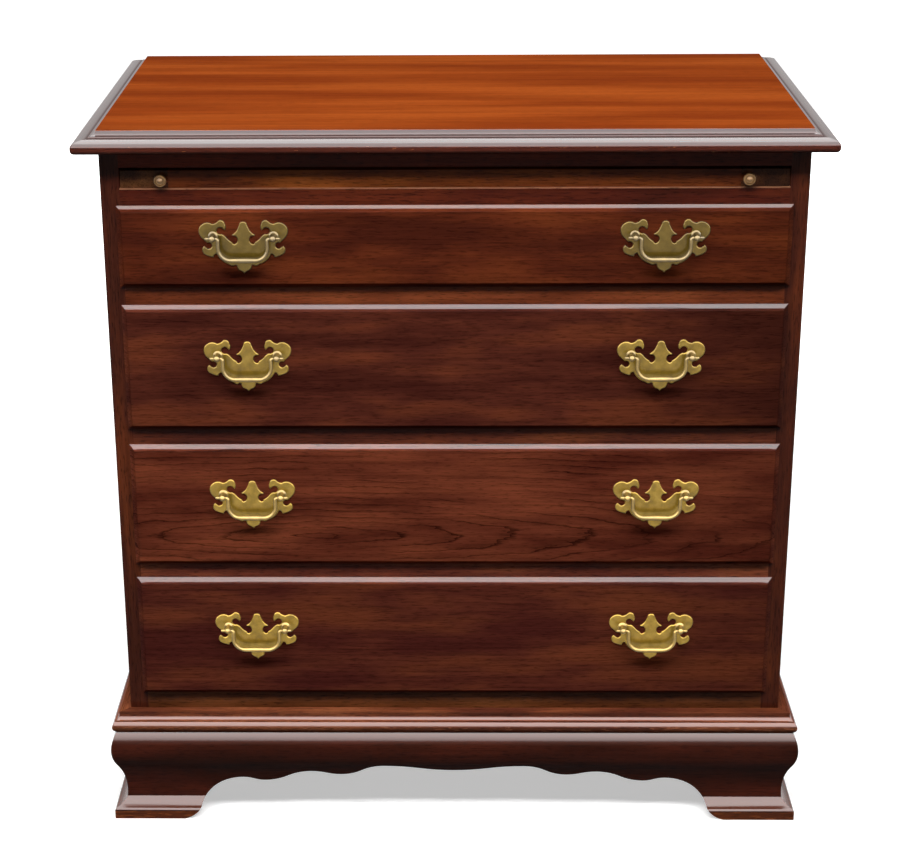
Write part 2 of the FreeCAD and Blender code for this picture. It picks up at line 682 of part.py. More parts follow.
def pull_bail():
    """Bail with pins turned outward through the posts and a grip that swells to the middle."""
    pin = PULL_BORING / 2
    arm = pin - BAIL_ARM_INSET
    shoulder = arm + BAIL_BEND
    corner_z = BAIL_CORNER - BAIL_DROP
    flat = arm - BAIL_CORNER
    right = V(1, 0, 0)
    down = V(0, 0, -1)
    pieces = [Part.makeCylinder(PIN_RADIUS, pin + PIN_OVERRUN - shoulder, V(shoulder, 0, 0), right)]
    bend = Part.Face(Part.Wire(Part.makeCircle(BAIL_ARM_RADIUS, V(shoulder, 0, 0), right)))
    pieces.append(bend.revolve(V(shoulder, 0, -BAIL_BEND), V(0, 1, 0), -90))
    length = -corner_z - BAIL_BEND
    pieces.append(Part.makeCylinder(BAIL_ARM_RADIUS, length, V(arm, 0, -BAIL_BEND), down))
    corner = Part.Face(Part.Wire(Part.makeCircle(BAIL_ARM_RADIUS, V(arm, 0, corner_z), down)))
    pieces.append(corner.revolve(V(flat, 0, corner_z), V(0, 1, 0), 90))
    grip = Part.makeCone(BAIL_GRIP_RADIUS, BAIL_ARM_RADIUS, flat, V(0, 0, -BAIL_DROP), right)
    pieces.append(grip)
    pieces += [mirrored(piece) for piece in pieces]
    return fused(pieces)


def base_moulding_section(plane):
    """Section of the base frame: ledge, cove, quirk and torus."""
    edge = BASE_TOP - BASE_LEDGE_EDGE
    cove = edge - BASE_COVE_FALL
    torus = cove - BASE_QUIRK
    foot = FOOT_HEIGHT + BASE_TORUS_FOOT
    section = Outline(plane, -BASE_FRAME_INSIDE, FOOT_HEIGHT)
    section.line(-BASE_FRAME_INSIDE, BASE_TOP).line(BASE_LEDGE, BASE_TOP).line(BASE_LEDGE, edge)
    reach = BASE_COVE_REACH - BASE_LEDGE
    section.arc(BASE_LEDGE + 0.28 * reach, cove + 0.3 * BASE_COVE_FALL, BASE_COVE_REACH, cove)
    section.line(BASE_COVE_REACH, torus)
    section.arc(BASE_TORUS_REACH, (torus + foot) / 2, BASE_COVE_REACH, foot)
    section.line(BASE_COVE_REACH - BASE_TORUS_UNDERCUT, FOOT_HEIGHT)
    return section.face()


def ogee_section(plane):
    """Section of the bracket base: swelling belly, hollow neck, crease and flared pad."""
    rise = FOOT_HEIGHT - OGEE_BELLY_HEIGHT
    back = OGEE_BELLY - OGEE_TOP
    swell = (rise * rise + back * back) / (2 * back)
    centre = OGEE_BELLY - swell
    fall = OGEE_BELLY_HEIGHT - OGEE_NECK_HEIGHT
    offset = OGEE_NECK - centre
    hollow = (fall * fall + offset * offset - swell * swell) / (2 * (swell - offset))
    outer = OGEE_NECK + hollow
    share = swell / (swell + hollow)
    turn = (centre + share * (outer - centre), OGEE_BELLY_HEIGHT - share * fall)

    def swell_at(z):
        return centre + math.sqrt(swell ** 2 - (z - OGEE_BELLY_HEIGHT) ** 2)

    def hollow_at(z):
        return outer - math.sqrt(hollow ** 2 - (z - OGEE_NECK_HEIGHT) ** 2)

    crease = hollow_at(CREASE_HEIGHT)
    bead = PAD_REACH - PAD_BEAD
    bead_z = PAD_EDGE_HEIGHT + PAD_BEAD
    flare = bead - crease
    drop = CREASE_HEIGHT - bead_z
    section = Outline(plane, -OGEE_INSIDE, 0)
    section.line(-OGEE_INSIDE, FOOT_HEIGHT).line(OGEE_TOP, FOOT_HEIGHT)
    section.arc(OGEE_BELLY, OGEE_BELLY_HEIGHT, *turn)
    mid_z = (turn[1] + CREASE_HEIGHT) / 2
    section.arc(hollow_at(mid_z), mid_z, crease, CREASE_HEIGHT)
    section.arc(crease + 0.44 * flare, bead_z + 0.42 * drop, bead, bead_z)
    bend = PAD_BEAD * (1 - math.sqrt(0.5))
    section.arc(PAD_REACH - bend, bead_z - bend, PAD_REACH, PAD_EDGE_HEIGHT)
    section.line(PAD_REACH, 0)
    return section.face()


def front_length(section_maker, inside):
    """Moulded length across the front, mitred at both corners."""
    outside = 2 * PAD_REACH
    reach = HALF_CASE + outside
    bar = section_maker(lambda p, z: V(-reach, -p, z)).extrude(V(2 * reach, 0, 0))
    inner = HALF_CASE - inside
    plan = [(-reach, -outside), (reach, -outside), (inner, inside), (-inner, inside)]
    return bar.common(plan_prism(plan, 0, BASE_TOP))


def right_length(section_maker, inside):
    """Moulded length along the right side, mitred in front and square at the back."""
    outside = 2 * PAD_REACH
    reach = HALF_CASE + outside
    bar = section_maker(lambda p, z: V(HALF_CASE + p, -outside, z))
    bar = bar.extrude(V(0, CASE_DEPTH + outside, 0))
    inner = HALF_CASE - inside
    plan = [(reach, -outside), (reach, CASE_DEPTH), (inner, CASE_DEPTH), (inner, inside)]
    return bar.common(plan_prism(plan, 0, BASE_TOP))


def scallop(plane, half, shares, direction):
    """Half of what is cut away under the apron, from the toe of the foot to the middle."""
    toe = half - FOOT_LENGTH
    heel = toe - FOOT_TOE_LENGTH
    crest = half - ARCH_CREST
    rise = ARCH_HEIGHT - FOOT_TOE_HEIGHT
    run = heel - crest
    radius = (run * run + rise * rise) / (2 * rise)
    turn = math.atan2(run, radius - rise) / 2
    edge = Outline(plane, toe, 0)
    edge.arc(heel + 0.42 * FOOT_TOE_LENGTH, 0.36 * FOOT_TOE_HEIGHT, heel, FOOT_TOE_HEIGHT)
    edge.arc(crest + radius * math.sin(turn), ARCH_HEIGHT - radius * (1 - math.cos(turn)), crest, ARCH_HEIGHT)
    for share, level in shares:
        edge.cyma(share * crest, level * FOOT_HEIGHT)
    edge.line(0, -CUT_MARGIN).line(toe, -CUT_MARGIN)
    return edge.face().extrude(direction)


def ogee_front():
    """Front of the bracket base with its scalloped apron."""
    front = -PAD_REACH - CUT_MARGIN
    depth = V(0, OGEE_INSIDE + CUT_MARGIN - front, 0)
    tool = scallop(lambda a, z: V(a, front, z), HALF_CASE, FRONT_SCALLOPS, depth)
    return cut_all(front_length(ogee_section, OGEE_INSIDE), [tool, mirrored(tool)])


def ogee_right():
    """Right side of the bracket base, scalloped between its front and rear feet."""
    middle = CASE_DEPTH / 2
    x = HALF_CASE - OGEE_INSIDE - CUT_MARGIN
    depth = V(PAD_REACH + OGEE_INSIDE + 2 * CUT_MARGIN, 0, 0)
    tools = [scallop(lambda a, z: V(x, middle + side * a, z), middle, SIDE_SCALLOPS, depth)
             for side in (-1, 1)]
    return cut_all(right_length(ogee_section, OGEE_INSIDE), tools)


def base_back_rail():
    """Plain rail that closes the base frame at the back."""
    inner = HALF_CASE - BASE_FRAME_INSIDE
    return box(-inner, inner, CASE_DEPTH - BASE_FRAME_INSIDE, CASE_DEPTH, FOOT_HEIGHT, BASE_TOP)


def rear_foot():
    """Plain bracket behind the right rear foot."""
    outer = HALF_CASE - OGEE_INSIDE
    y = CASE_DEPTH - REAR_FOOT_THICKNESS
    toe = outer - REAR_FOOT_LENGTH
    tip = outer - REAR_FOOT_REACH
    bend = (REAR_FOOT_REACH - REAR_FOOT_LENGTH) * 0.3
    bracket = Outline(lambda a, z: V(a, y, z), outer, 0)
    bracket.line(toe, 0).arc(toe - bend, 0.7 * FOOT_HEIGHT, tip, FOOT_HEIGHT).line(outer, FOOT_HEIGHT)
    return bracket.face().extrude(V(0, REAR_FOOT_THICKNESS, 0))


def corner_blocks():
    """Glue blocks that stand in the corners of the base, a little off the floor."""
    x1 = HALF_CASE - OGEE_INSIDE
    x0 = x1 - BLOCK_WIDTH
    back = CASE_DEPTH - REAR_FOOT_THICKNESS
    front_block = box(x0, x1, OGEE_INSIDE, OGEE_INSIDE + BLOCK_WIDTH, BLOCK_LIFT, FOOT_HEIGHT)
    rear_block = box(x0, x1, back - BLOCK_WIDTH, back, BLOCK_LIFT, FOOT_HEIGHT)
    blocks = [front_block, rear_block]
    return blocks + [mirrored(block) for block in blocks]


def save(name, shape):
    """Move a piece to the frame of the chest and write it under its name."""
    solids = shape if isinstance(shape, list) else [shape]
    piece = Part.makeCompound(solids) if len(solids) > 1 else solids[0]
    piece.translate(V(0, -ORIGIN_Y, 0))
    piece.exportStep("parts/" + name + ".step")


def save_case():
    """Write the fixed pieces of the case and its base."""
    save("top_board", top_board())
    save("top_screws", [screw(x, y) for x, y in screw_places()])
    save("right_side", right_side())
    save("left_side", mirrored(right_side()))
    save("back_panel", back_panel())
    names = ["top_rail", "slide_rail", "rail_below_drawer_1", "rail_below_drawer_2"]
    names += ["rail_below_drawer_3", "bottom_rail"]
    for name, level in zip(names, FRAMES):
        save(name, front_rail(level))
    save("back_rails", [back_rail(level) for level in FRAMES])
    save("side_runners", side_runners())
    save("base_moulding_front", front_length(base_moulding_section, BASE_FRAME_INSIDE))
    base_right = right_length(base_moulding_section, BASE_FRAME_INSIDE)
    save("base_moulding_left", mirrored(base_right))
    save("base_moulding_right", base_right)
    save("base_back_rail", base_back_rail())
    save("ogee_base_front", ogee_front())
    save("ogee_base_left", mirrored(ogee_right()))
    save("ogee_base_right", ogee_right())
    save("rear_feet", [mirrored(rear_foot()), rear_foot()])
    save("corner_blocks", corner_blocks())


def save_slide():
    """Write the pull-out slide."""
    save("slide_panel", slide_panel())
    save("slide_end_left", mirrored(slide_end()))
    save("slide_end_right", slide_end())
    save("slide_stops", slide_stops())
    save("slide_knobs", [mirrored(slide_knob()), slide_knob()])


def save_drawers():
    """Write the four drawers with their pulls."""
    for number in range(len(LIP_HEIGHTS)):
        drawer = Drawer(number)
        name = "drawer_" + str(number + 1)
        side = drawer.right_side()
        save(name + "_front", drawer.front())
        save(name + "_sides", [mirrored(side), side])
        save(name + "_back", drawer.back())
        save(name + "_bottom", drawer.bottom())
        save(name + "_pull_plates", drawer.plates())
        save(name + "_pull_posts", drawer.posts())
        save(name + "_left_bail", drawer.bail(-PULL_X))
        save(name + "_right_bail", drawer.bail(PULL_X))


os.makedirs("parts", exist_ok=True)
save_case()
save_slide()
save_drawers()
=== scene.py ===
"""Looks of a bachelor chest: lacquered cherry, aged brass pulls and a plain pale studio.

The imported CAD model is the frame. This script gives every CAD piece its finish, and makes the
pull plates and bails anew as smooth surfaces. Sizes are in millimetres where a name says so,
and Blender's own coordinates are in metres.
"""

import json
import logging
import math
from dataclasses import dataclass, field, replace
from enum import Enum
from typing import Iterable, Mapping, Optional, Sequence, Union

import bpy
import numpy as np
from mathutils import Matrix, Vector
from mathutils.geometry import delaunay_2d_cdt

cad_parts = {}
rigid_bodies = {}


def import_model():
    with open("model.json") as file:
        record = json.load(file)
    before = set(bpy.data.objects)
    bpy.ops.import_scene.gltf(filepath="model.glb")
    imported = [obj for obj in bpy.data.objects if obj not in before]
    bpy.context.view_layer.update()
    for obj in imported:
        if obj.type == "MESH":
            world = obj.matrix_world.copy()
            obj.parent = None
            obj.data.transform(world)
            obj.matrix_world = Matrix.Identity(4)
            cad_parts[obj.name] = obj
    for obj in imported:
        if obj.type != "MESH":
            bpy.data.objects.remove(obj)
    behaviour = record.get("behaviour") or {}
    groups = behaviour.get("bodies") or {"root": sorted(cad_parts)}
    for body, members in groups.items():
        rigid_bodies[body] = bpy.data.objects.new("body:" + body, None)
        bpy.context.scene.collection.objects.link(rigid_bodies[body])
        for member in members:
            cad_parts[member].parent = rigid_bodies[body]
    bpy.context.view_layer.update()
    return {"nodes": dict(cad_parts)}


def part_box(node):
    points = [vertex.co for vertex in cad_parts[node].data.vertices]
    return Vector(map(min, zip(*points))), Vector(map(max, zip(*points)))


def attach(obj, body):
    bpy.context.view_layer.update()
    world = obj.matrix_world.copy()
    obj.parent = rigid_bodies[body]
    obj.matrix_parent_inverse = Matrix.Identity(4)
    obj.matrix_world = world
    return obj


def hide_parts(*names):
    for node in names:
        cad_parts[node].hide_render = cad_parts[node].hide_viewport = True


# Blender starts with a cube, a lamp and a camera of its own.
for leftover in list(bpy.data.objects):
    bpy.data.objects.remove(leftover)

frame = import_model()

MM = 0.001
PER_MM = 1000.0
IMAGE_WIDTH = 907
SENSOR_MM = 36.0
# Share of its colour left to the brass of each drawer, top drawer first: the brass of the upper
# drawers is darker as painted shade.
BRASS_SHADE_TONES = (0.29, 0.59, 0.76, 0.85)

Tree = bpy.types.NodeTree
Socket = bpy.types.NodeSocket
Material = bpy.types.Material
SocketValue = Union[float, Sequence[float], Socket]
Colour = tuple[float, float, float, float]
Stops = Sequence[tuple[float, Colour]]
Pair = tuple[float, float]
Triple = tuple[float, float, float]
Pairs = tuple[Pair, ...]
Stain = tuple[str, str, str]

log = logging.getLogger("chest")


class Grain(Enum):
    """Which way the grain of a board runs: across the chest, front to back, or upright."""

    ACROSS = 0
    DEEP = 1
    UPRIGHT = 2


class Layer(Enum):
    """Noise layers of a finish: cells that each is moved on by, and its octaves."""

    PATCH = (0.0, 3.0)
    STREAK = (11.0, 6.0)
    PORE = (23.0, 2.0)
    RING = (31.0, 4.0)
    RING_FADE = (47.0, 2.0)
    BARE_BAND = (0.0, 4.0)
    BARE_STREAK = (9.0, 4.0)
    BARE_FIBRE = (17.0, 4.0)

    def __init__(self, offset: float, octaves: float) -> None:
        """Keep the offset and the octaves under their names."""
        self.offset = offset
        self.octaves = octaves


class BareBoard(Enum):
    """Unfinished boards inside the chest, by the name of their wood."""

    ACROSS = "poplar_across"
    DEEP = "poplar_deep"
    UPRIGHT = "poplar_upright"
    BACK = "lauan_plywood"
    BOTTOM = "lauan_plywood_across"


class Hand(Enum):
    """Side of a drawer that a pull is on."""

    LEFT = "left"
    RIGHT = "right"


Woods = Mapping[BareBoard, Material]


def linear(code: str) -> Colour:
    """Turn an sRGB hex colour into linear light.

    Args:
        code: Six hex digits after a hash.

    Returns:
        Linear red, green, blue and an alpha of one.
    """
    parts = np.array([int(code[i:i + 2], 16) for i in (1, 3, 5)]) / 255.0
    light = np.where(parts <= 0.04045, parts / 12.92, ((parts + 0.055) / 1.055) ** 2.4)
    return (float(light[0]), float(light[1]), float(light[2]), 1.0)


def greys(*rows: Pair) -> Stops:
    """Colour stops of a mask, from the place and the linear value of each."""
    return [(place, (value, value, value, 1.0)) for place, value in rows]


def stains(places: Sequence[float], *codes: str) -> Stops:
    """Colour stops of a stain, from the place and the hex colour of each."""
    return [(place, linear(code)) for place, code in zip(places, codes)]


def add(tree: Tree, kind: str, inputs: Optional[Mapping[Union[str, int], SocketValue]] = None,
        stops: Stops = (), **settings: object) -> bpy.types.Node:
    """Add a shader node with its settings, colour stops, values and links.

    Args:
        tree: Node tree that takes the node.
        kind: Node type without its ShaderNode prefix.
        inputs: Value or linked output for each named or numbered socket.
        stops: Position and colour of each stop of a colour ramp.
        settings: Properties of the node itself.

    Returns:
        The new node.
    """
    node = tree.nodes.new("ShaderNode" + kind)
    for key, value in settings.items():
        setattr(node, key, value)
    for key, value in (inputs or {}).items():
        if isinstance(value, Socket):
            tree.links.new(value, node.inputs[key])
        else:
            node.inputs[key].default_value = value
    for count, (place, colour) in enumerate(stops):
        row = node.color_ramp.elements
        stop = row[count] if count < len(row) else row.new(place)
        stop.position = place
        stop.color = colour
    return node


def drawn_noise(tree: Tree, spot: Socket, grain: Grain, size_mm: Pair, offset: float,
                octaves: float, roughness: float = 0.5) -> Socket:
    """Noise drawn out along the grain.

    Args:
        tree: Node tree of the material.
        spot: Object coordinates.
        grain: Direction of the grain.
        size_mm: Length of a cell along the grain and its width across it.
        offset: Cells that the noise is moved on by, which tells one layer from another.
        octaves: How many finer layers are laid over the first.
        roughness: Share that each octave keeps of the one before.

    Returns:
        The noise from zero to one.
    """
    along, across = size_mm
    scale = [PER_MM / across] * 3
    scale[grain.value] = PER_MM / along
    place = add(tree, "Mapping", {"Vector": spot, "Location": (offset, offset, offset),
                                  "Scale": scale})
    cloud = add(tree, "TexNoise", {"Vector": place.outputs[0], "Scale": 1.0, "Detail": octaves,
                                   "Roughness": roughness})
    return cloud.outputs[0]


def blank_material(name: str) -> tuple[Material, Tree, bpy.types.Node]:
    """A new node material with nothing but its output.

    Args:
        name: Name of the material.

    Returns:
        The material, its tree and its output node.
    """
    material = bpy.data.materials.new(name)
    material.use_nodes = True
    tree = material.node_tree
    tree.nodes.clear()
    return material, tree, add(tree, "OutputMaterial")


@dataclass(frozen=True)
class Figure:
    """Flat-sawn figure: growth rings cut by a board that leans along the trunk.

    A ring is a circle about the pith. The depth of the pith under the board changes along
    the board, so the rings show as long nested arches.
    """

    middle_mm: Pair
    depth_mm: float = 10.0
    lean: float = 0.1
    ring_mm: float = 7.0
    wander_mm: float = 10.0
    push_mm: Pair = (60.0, 14.0)
    season_shades: Pairs = ((0.0, 0.3), (0.05, 0.42), (0.16, 1.0), (0.6, 1.0), (1.0, 0.8))
    fade_mm: Pair = (130.0, 40.0)
    fade_levels: Pair = (0.36, 0.56)
    faintest: float = 0.1
    strength: float = 0.5
    flat_on: Grain = Grain.UPRIGHT


@dataclass(frozen=True)
class Band:
    """Levels of a piece where it takes another colour, all over or in worn specks; some bands are
    painted light.
    """

    low_mm: float
    high_mm: float
    colour: str
    speck_mm: Optional[Pair] = None
    speck_level: float = 0.62
    speck_fade: float = 0.05


@dataclass(frozen=True)
class HeartwoodAndShade:
    """Way along the grain over which the wood turns darker, and the share of light left; used for
    heartwood and for painted shade.
    """

    from_mm: float
    to_mm: float
    share: float


@dataclass(frozen=True)
class LacqueredCherry:
    """Cherry, stained red-brown and sprayed with a satin lacquer.

    The eye sees soft red and brown patches drawn out along the grain, fine dark pores, a
    few growth lines, and a pale sheen where an edge leans towards the sky. On some pieces a
    lighter colour is painted where an edge leans up, which is painted light.
    """

    name: str
    grain: Grain
    deep: str
    middle: str
    bright: str
    seed: float
    figure: Optional[Figure] = None
    bands: tuple[Band, ...] = ()
    heart_and_shade: Optional[HeartwoodAndShade] = None
    # Colour painted on surfaces that lean up, lighter as if lit from above: painted light.
    painted_lean_light: Optional[str] = None
    patch_mm: Pair = (190.0, 38.0)
    patch_stops: Triple = (0.37, 0.5, 0.63)
    streak_mm: Pair = (130.0, 2.6)
    streak_shades: Pairs = ((0.3, 0.62), (0.5, 1.0), (0.7, 1.28))
    streak_strength: float = 0.7
    # Pores are about 0.1 mm wide in cherry. They are drawn near 1 mm to show at this distance.
    pore_mm: Pair = (12.0, 1.3)
    pore_shades: Pairs = ((0.34, 0.42), (0.46, 1.0), (0.68, 1.1))
    pore_strength: float = 0.8
    pore_bump: float = 0.16
    pore_depth_mm: float = 0.25
    sheen_flat: float = 0.012
    sheen_wall: float = 0.06
    sheen_edge: float = 1.0
    lean_stops: tuple[float, float, float, float] = (0.12, 0.42, 0.93, 0.995)
    # In front of this depth little sheen is left, so that the arris round a drawer's field is dull.
    dull_before_mm: Optional[float] = None
    dull_fade_mm: float = 0.1
    dull_share: float = 0.05
    roughness: float = 0.45
    gloss: float = 0.14
    seed_cells: float = 7.3
    octave_share: float = 0.58

    def noise(self, tree: Tree, spot: Socket, size_mm: Pair, layer: Layer,
              further: float = 0.0) -> Socket:
        """Noise of one layer along this board's own grain, moved further on by some cells."""
        offset = self.seed * self.seed_cells + layer.offset + further
        return drawn_noise(tree, spot, self.grain, size_mm, offset, layer.octaves,
                           self.octave_share)

    def rings(self, tree: Tree, spot: Socket, figure: Figure) -> tuple[Socket, Socket]:
        """Growth lines of the figure, and how strongly they show.

        The distance to the pith is the length of (depth + lean times the way along, the way
        across), pushed about by noise. Its fraction of a ring is dark at the end of a season.

        Args:
            tree: Node tree of the material.
            spot: Object coordinates.
            figure: Where the arches lie and how far apart the rings are.

        Returns:
            Shade of the lines, white between them, and the share of it that shows.
        """
        along, across = figure.middle_mm
        scale = [0.0, 0.0, 0.0]
        place = [0.0, 0.0, 0.0]
        scale[self.grain.value] = figure.lean * PER_MM
        place[self.grain.value] = figure.depth_mm - figure.lean * along
        scale[figure.flat_on.value] = PER_MM
        place[figure.flat_on.value] = -across
        board = add(tree, "Mapping", {"Vector": spot, "Location": place, "Scale": scale})
        pith = add(tree, "VectorMath", {0: board.outputs[0]}, operation="LENGTH").outputs["Value"]
        push = self.noise(tree, spot, figure.push_mm, Layer.RING)
        ragged = add(tree, "Math", {0: push, 1: figure.wander_mm, 2: pith},
                     operation="MULTIPLY_ADD").outputs[0]
        count = add(tree, "Math", {0: ragged, 1: figure.ring_mm}, operation="DIVIDE").outputs[0]
        season = add(tree, "Math", {0: count}, operation="FRACT").outputs[0]
        lines = add(tree, "ValToRGB", {0: season}, greys(*figure.season_shades))
        fade = self.noise(tree, spot, figure.fade_mm, Layer.RING_FADE)
        low, high = figure.fade_levels
        share = add(tree, "MapRange", {0: fade, 1: low, 2: high, 3: figure.faintest,
                                       4: figure.strength})
        return lines.outputs[0], share.outputs[0]

    def banded(self, tree: Tree, spot: Socket, colour: Socket, band: Band) -> Socket:
        """A colour that gives way to another between two levels, all over or in specks.

        Args:
            tree: Node tree of the material.
            spot: Object coordinates.
            colour: Colour outside the band.
            band: Levels and colour of the band, and the size of its specks.

        Returns:
            The colour with the band on it.
        """
        level = add(tree, "SeparateXYZ", {0: spot}).outputs["Z"]
        share = add(tree, "Math", {0: level, 1: (band.low_mm + band.high_mm) / 2 * MM,
                                   2: (band.high_mm - band.low_mm) / 2 * MM},
                    operation="COMPARE").outputs[0]
        if band.speck_mm is not None:
            speck = self.noise(tree, spot, band.speck_mm, Layer.PATCH, band.low_mm)
            worn = add(tree, "MapRange", {0: speck, 1: band.speck_level, 3: 0.0,
                                          2: band.speck_level + band.speck_fade, 4: 1.0})
            share = add(tree, "Math", {0: share, 1: worn.outputs[0]},
                        operation="MULTIPLY").outputs[0]
        return add(tree, "Mix", {0: share, 6: colour, 7: linear(band.colour)},
                   data_type="RGBA").outputs[2]

    def colour(self, tree: Tree, spot: Socket) -> tuple[Socket, Socket]:
        """Colour of the stained wood, and the pores that its bump is made from.

        Args:
            tree: Node tree of the material.
            spot: Object coordinates.

        Returns:
            Colour socket and pore height socket.
        """
        patch = self.noise(tree, spot, self.patch_mm, Layer.PATCH)
        shown = add(tree, "ValToRGB", {0: patch}, stains(
            self.patch_stops, self.deep, self.middle, self.bright)).outputs[0]
        for band in self.bands:
            shown = self.banded(tree, spot, shown, band)
        streak = self.noise(tree, spot, self.streak_mm, Layer.STREAK)
        stripes = add(tree, "ValToRGB", {0: streak}, greys(*self.streak_shades))
        shades = [(stripes.outputs[0], self.streak_strength)]
        if self.figure is not None:
            shades.append(self.rings(tree, spot, self.figure))
        fine = self.noise(tree, spot, self.pore_mm, Layer.PORE)
        pores = add(tree, "ValToRGB", {0: fine}, greys(*self.pore_shades))
        shades.append((pores.outputs[0], self.pore_strength))
        # Darker towards one end: heartwood on some boards, painted shade on others.
        if self.heart_and_shade is not None:
            along = add(tree, "SeparateXYZ", {0: spot}).outputs[self.grain.value]
            dark = add(tree, "MapRange", {0: along, 1: self.heart_and_shade.from_mm * MM, 3: 1.0,
                                          2: self.heart_and_shade.to_mm * MM, 4: self.heart_and_shade.share})
            shades.append((dark.outputs[0], 1.0))
        for shade, share in shades:
            shown = add(tree, "Mix", {0: share, 6: shown, 7: shade}, data_type="RGBA",
                        blend_type="MULTIPLY").outputs[2]
        return shown, fine

    def material(self) -> Material:
        """Build the finish.

        Returns:
            The material with its grain, pores and lacquer.
        """
        material, tree, output = blank_material(self.name)
        place = add(tree, "TexCoord")
        spot = place.outputs["Object"]
        colour, fine = self.colour(tree, spot)
        bump = add(tree, "Bump", {"Height": fine, "Strength": self.pore_bump,
                                  "Distance": self.pore_depth_mm * MM})
        lean = add(tree, "SeparateXYZ", {0: place.outputs["Normal"]}).outputs["Z"]
        levels = (self.sheen_wall, self.sheen_edge, self.sheen_edge, self.sheen_flat)
        shine = add(tree, "ValToRGB", {0: lean}, greys(*zip(self.lean_stops, levels))).outputs[0]
        # Painted light: the lean colour is mixed in by the same lean mask that drives the lacquer's
        # sheen.
        if self.painted_lean_light is not None:
            colour = add(tree, "Mix", {0: shine, 6: colour, 7: linear(self.painted_lean_light)},
                         data_type="RGBA").outputs[2]
        if self.dull_before_mm is not None:
            depth = add(tree, "SeparateXYZ", {0: spot}).outputs["Y"]
            kept = add(tree, "MapRange", {
                0: depth, 1: self.dull_before_mm * MM, 3: self.dull_share,
                2: (self.dull_before_mm + self.dull_fade_mm) * MM, 4: 1.0})
            shine = add(tree, "Math", {0: shine, 1: kept.outputs[0]},
                        operation="MULTIPLY").outputs[0]
        shader = add(tree, "BsdfPrincipled", {
            "Base Color": colour, "Roughness": self.roughness, "Specular IOR Level": 0.0,
            "Coat Weight": shine, "Coat Roughness": self.gloss, "Normal": bump.outputs[0]})
        tree.links.new(shader.outputs[0], output.inputs["Surface"])
        return material


@dataclass(frozen=True)
class BareWood:
    """Poplar and plywood, planed and left without finish inside the case.

    The eye sees pale tan boards with soft bands and fine fibres along the grain, and no shine.
    """

    name: str
    grain: Grain
    deep: str = "#9A774E"
    middle: str = "#B08E62"
    bright: str = "#C2A379"
    seed: float = 0.0
    band_mm: Pair = (260.0, 14.0)
    band_stops: Triple = (0.34, 0.5, 0.66)
    streak_mm: Pair = (110.0, 2.4)
    streak_shades: Pairs = ((0.36, 0.78), (0.55, 1.04))
    # Fibres are far finer than this. They are drawn 1 mm wide to show.
    fibre_mm: Pair = (14.0, 1.0)
    fibre_shades: Pairs = ((0.36, 0.7), (0.55, 1.04))
    fibre_bump: float = 0.3
    fibre_depth_mm: float = 0.3
    shade_strength: float = 0.75
    roughness: float = 0.75
    specular: float = 0.2
    seed_cells: float = 5.7

    def material(self) -> Material:
        """Build the finish.

        Returns:
            The material with its bands, streaks and fibres.
        """
        material, tree, output = blank_material(self.name)
        spot = add(tree, "TexCoord").outputs["Object"]
        sizes = {Layer.BARE_BAND: self.band_mm, Layer.BARE_STREAK: self.streak_mm,
                 Layer.BARE_FIBRE: self.fibre_mm}
        bands, streaks, fibres = (
            drawn_noise(tree, spot, self.grain, size, self.seed * self.seed_cells + layer.offset,
                        layer.octaves) for layer, size in sizes.items())
        shown = add(tree, "ValToRGB", {0: bands}, stains(
            self.band_stops, self.deep, self.middle, self.bright)).outputs[0]
        for cloud, shades in ((streaks, self.streak_shades), (fibres, self.fibre_shades)):
            shade = add(tree, "ValToRGB", {0: cloud}, greys(*shades))
            shown = add(tree, "Mix", {0: self.shade_strength, 6: shown, 7: shade.outputs[0]},
                        data_type="RGBA", blend_type="MULTIPLY").outputs[2]
        bump = add(tree, "Bump", {"Height": fibres, "Strength": self.fibre_bump,
                                  "Distance": self.fibre_depth_mm * MM})
        shader = add(tree, "BsdfPrincipled", {
            "Base Color": shown, "Roughness": self.roughness,
            "Specular IOR Level": self.specular, "Normal": bump.outputs[0]})
        tree.links.new(shader.outputs[0], output.inputs["Surface"])
        return material


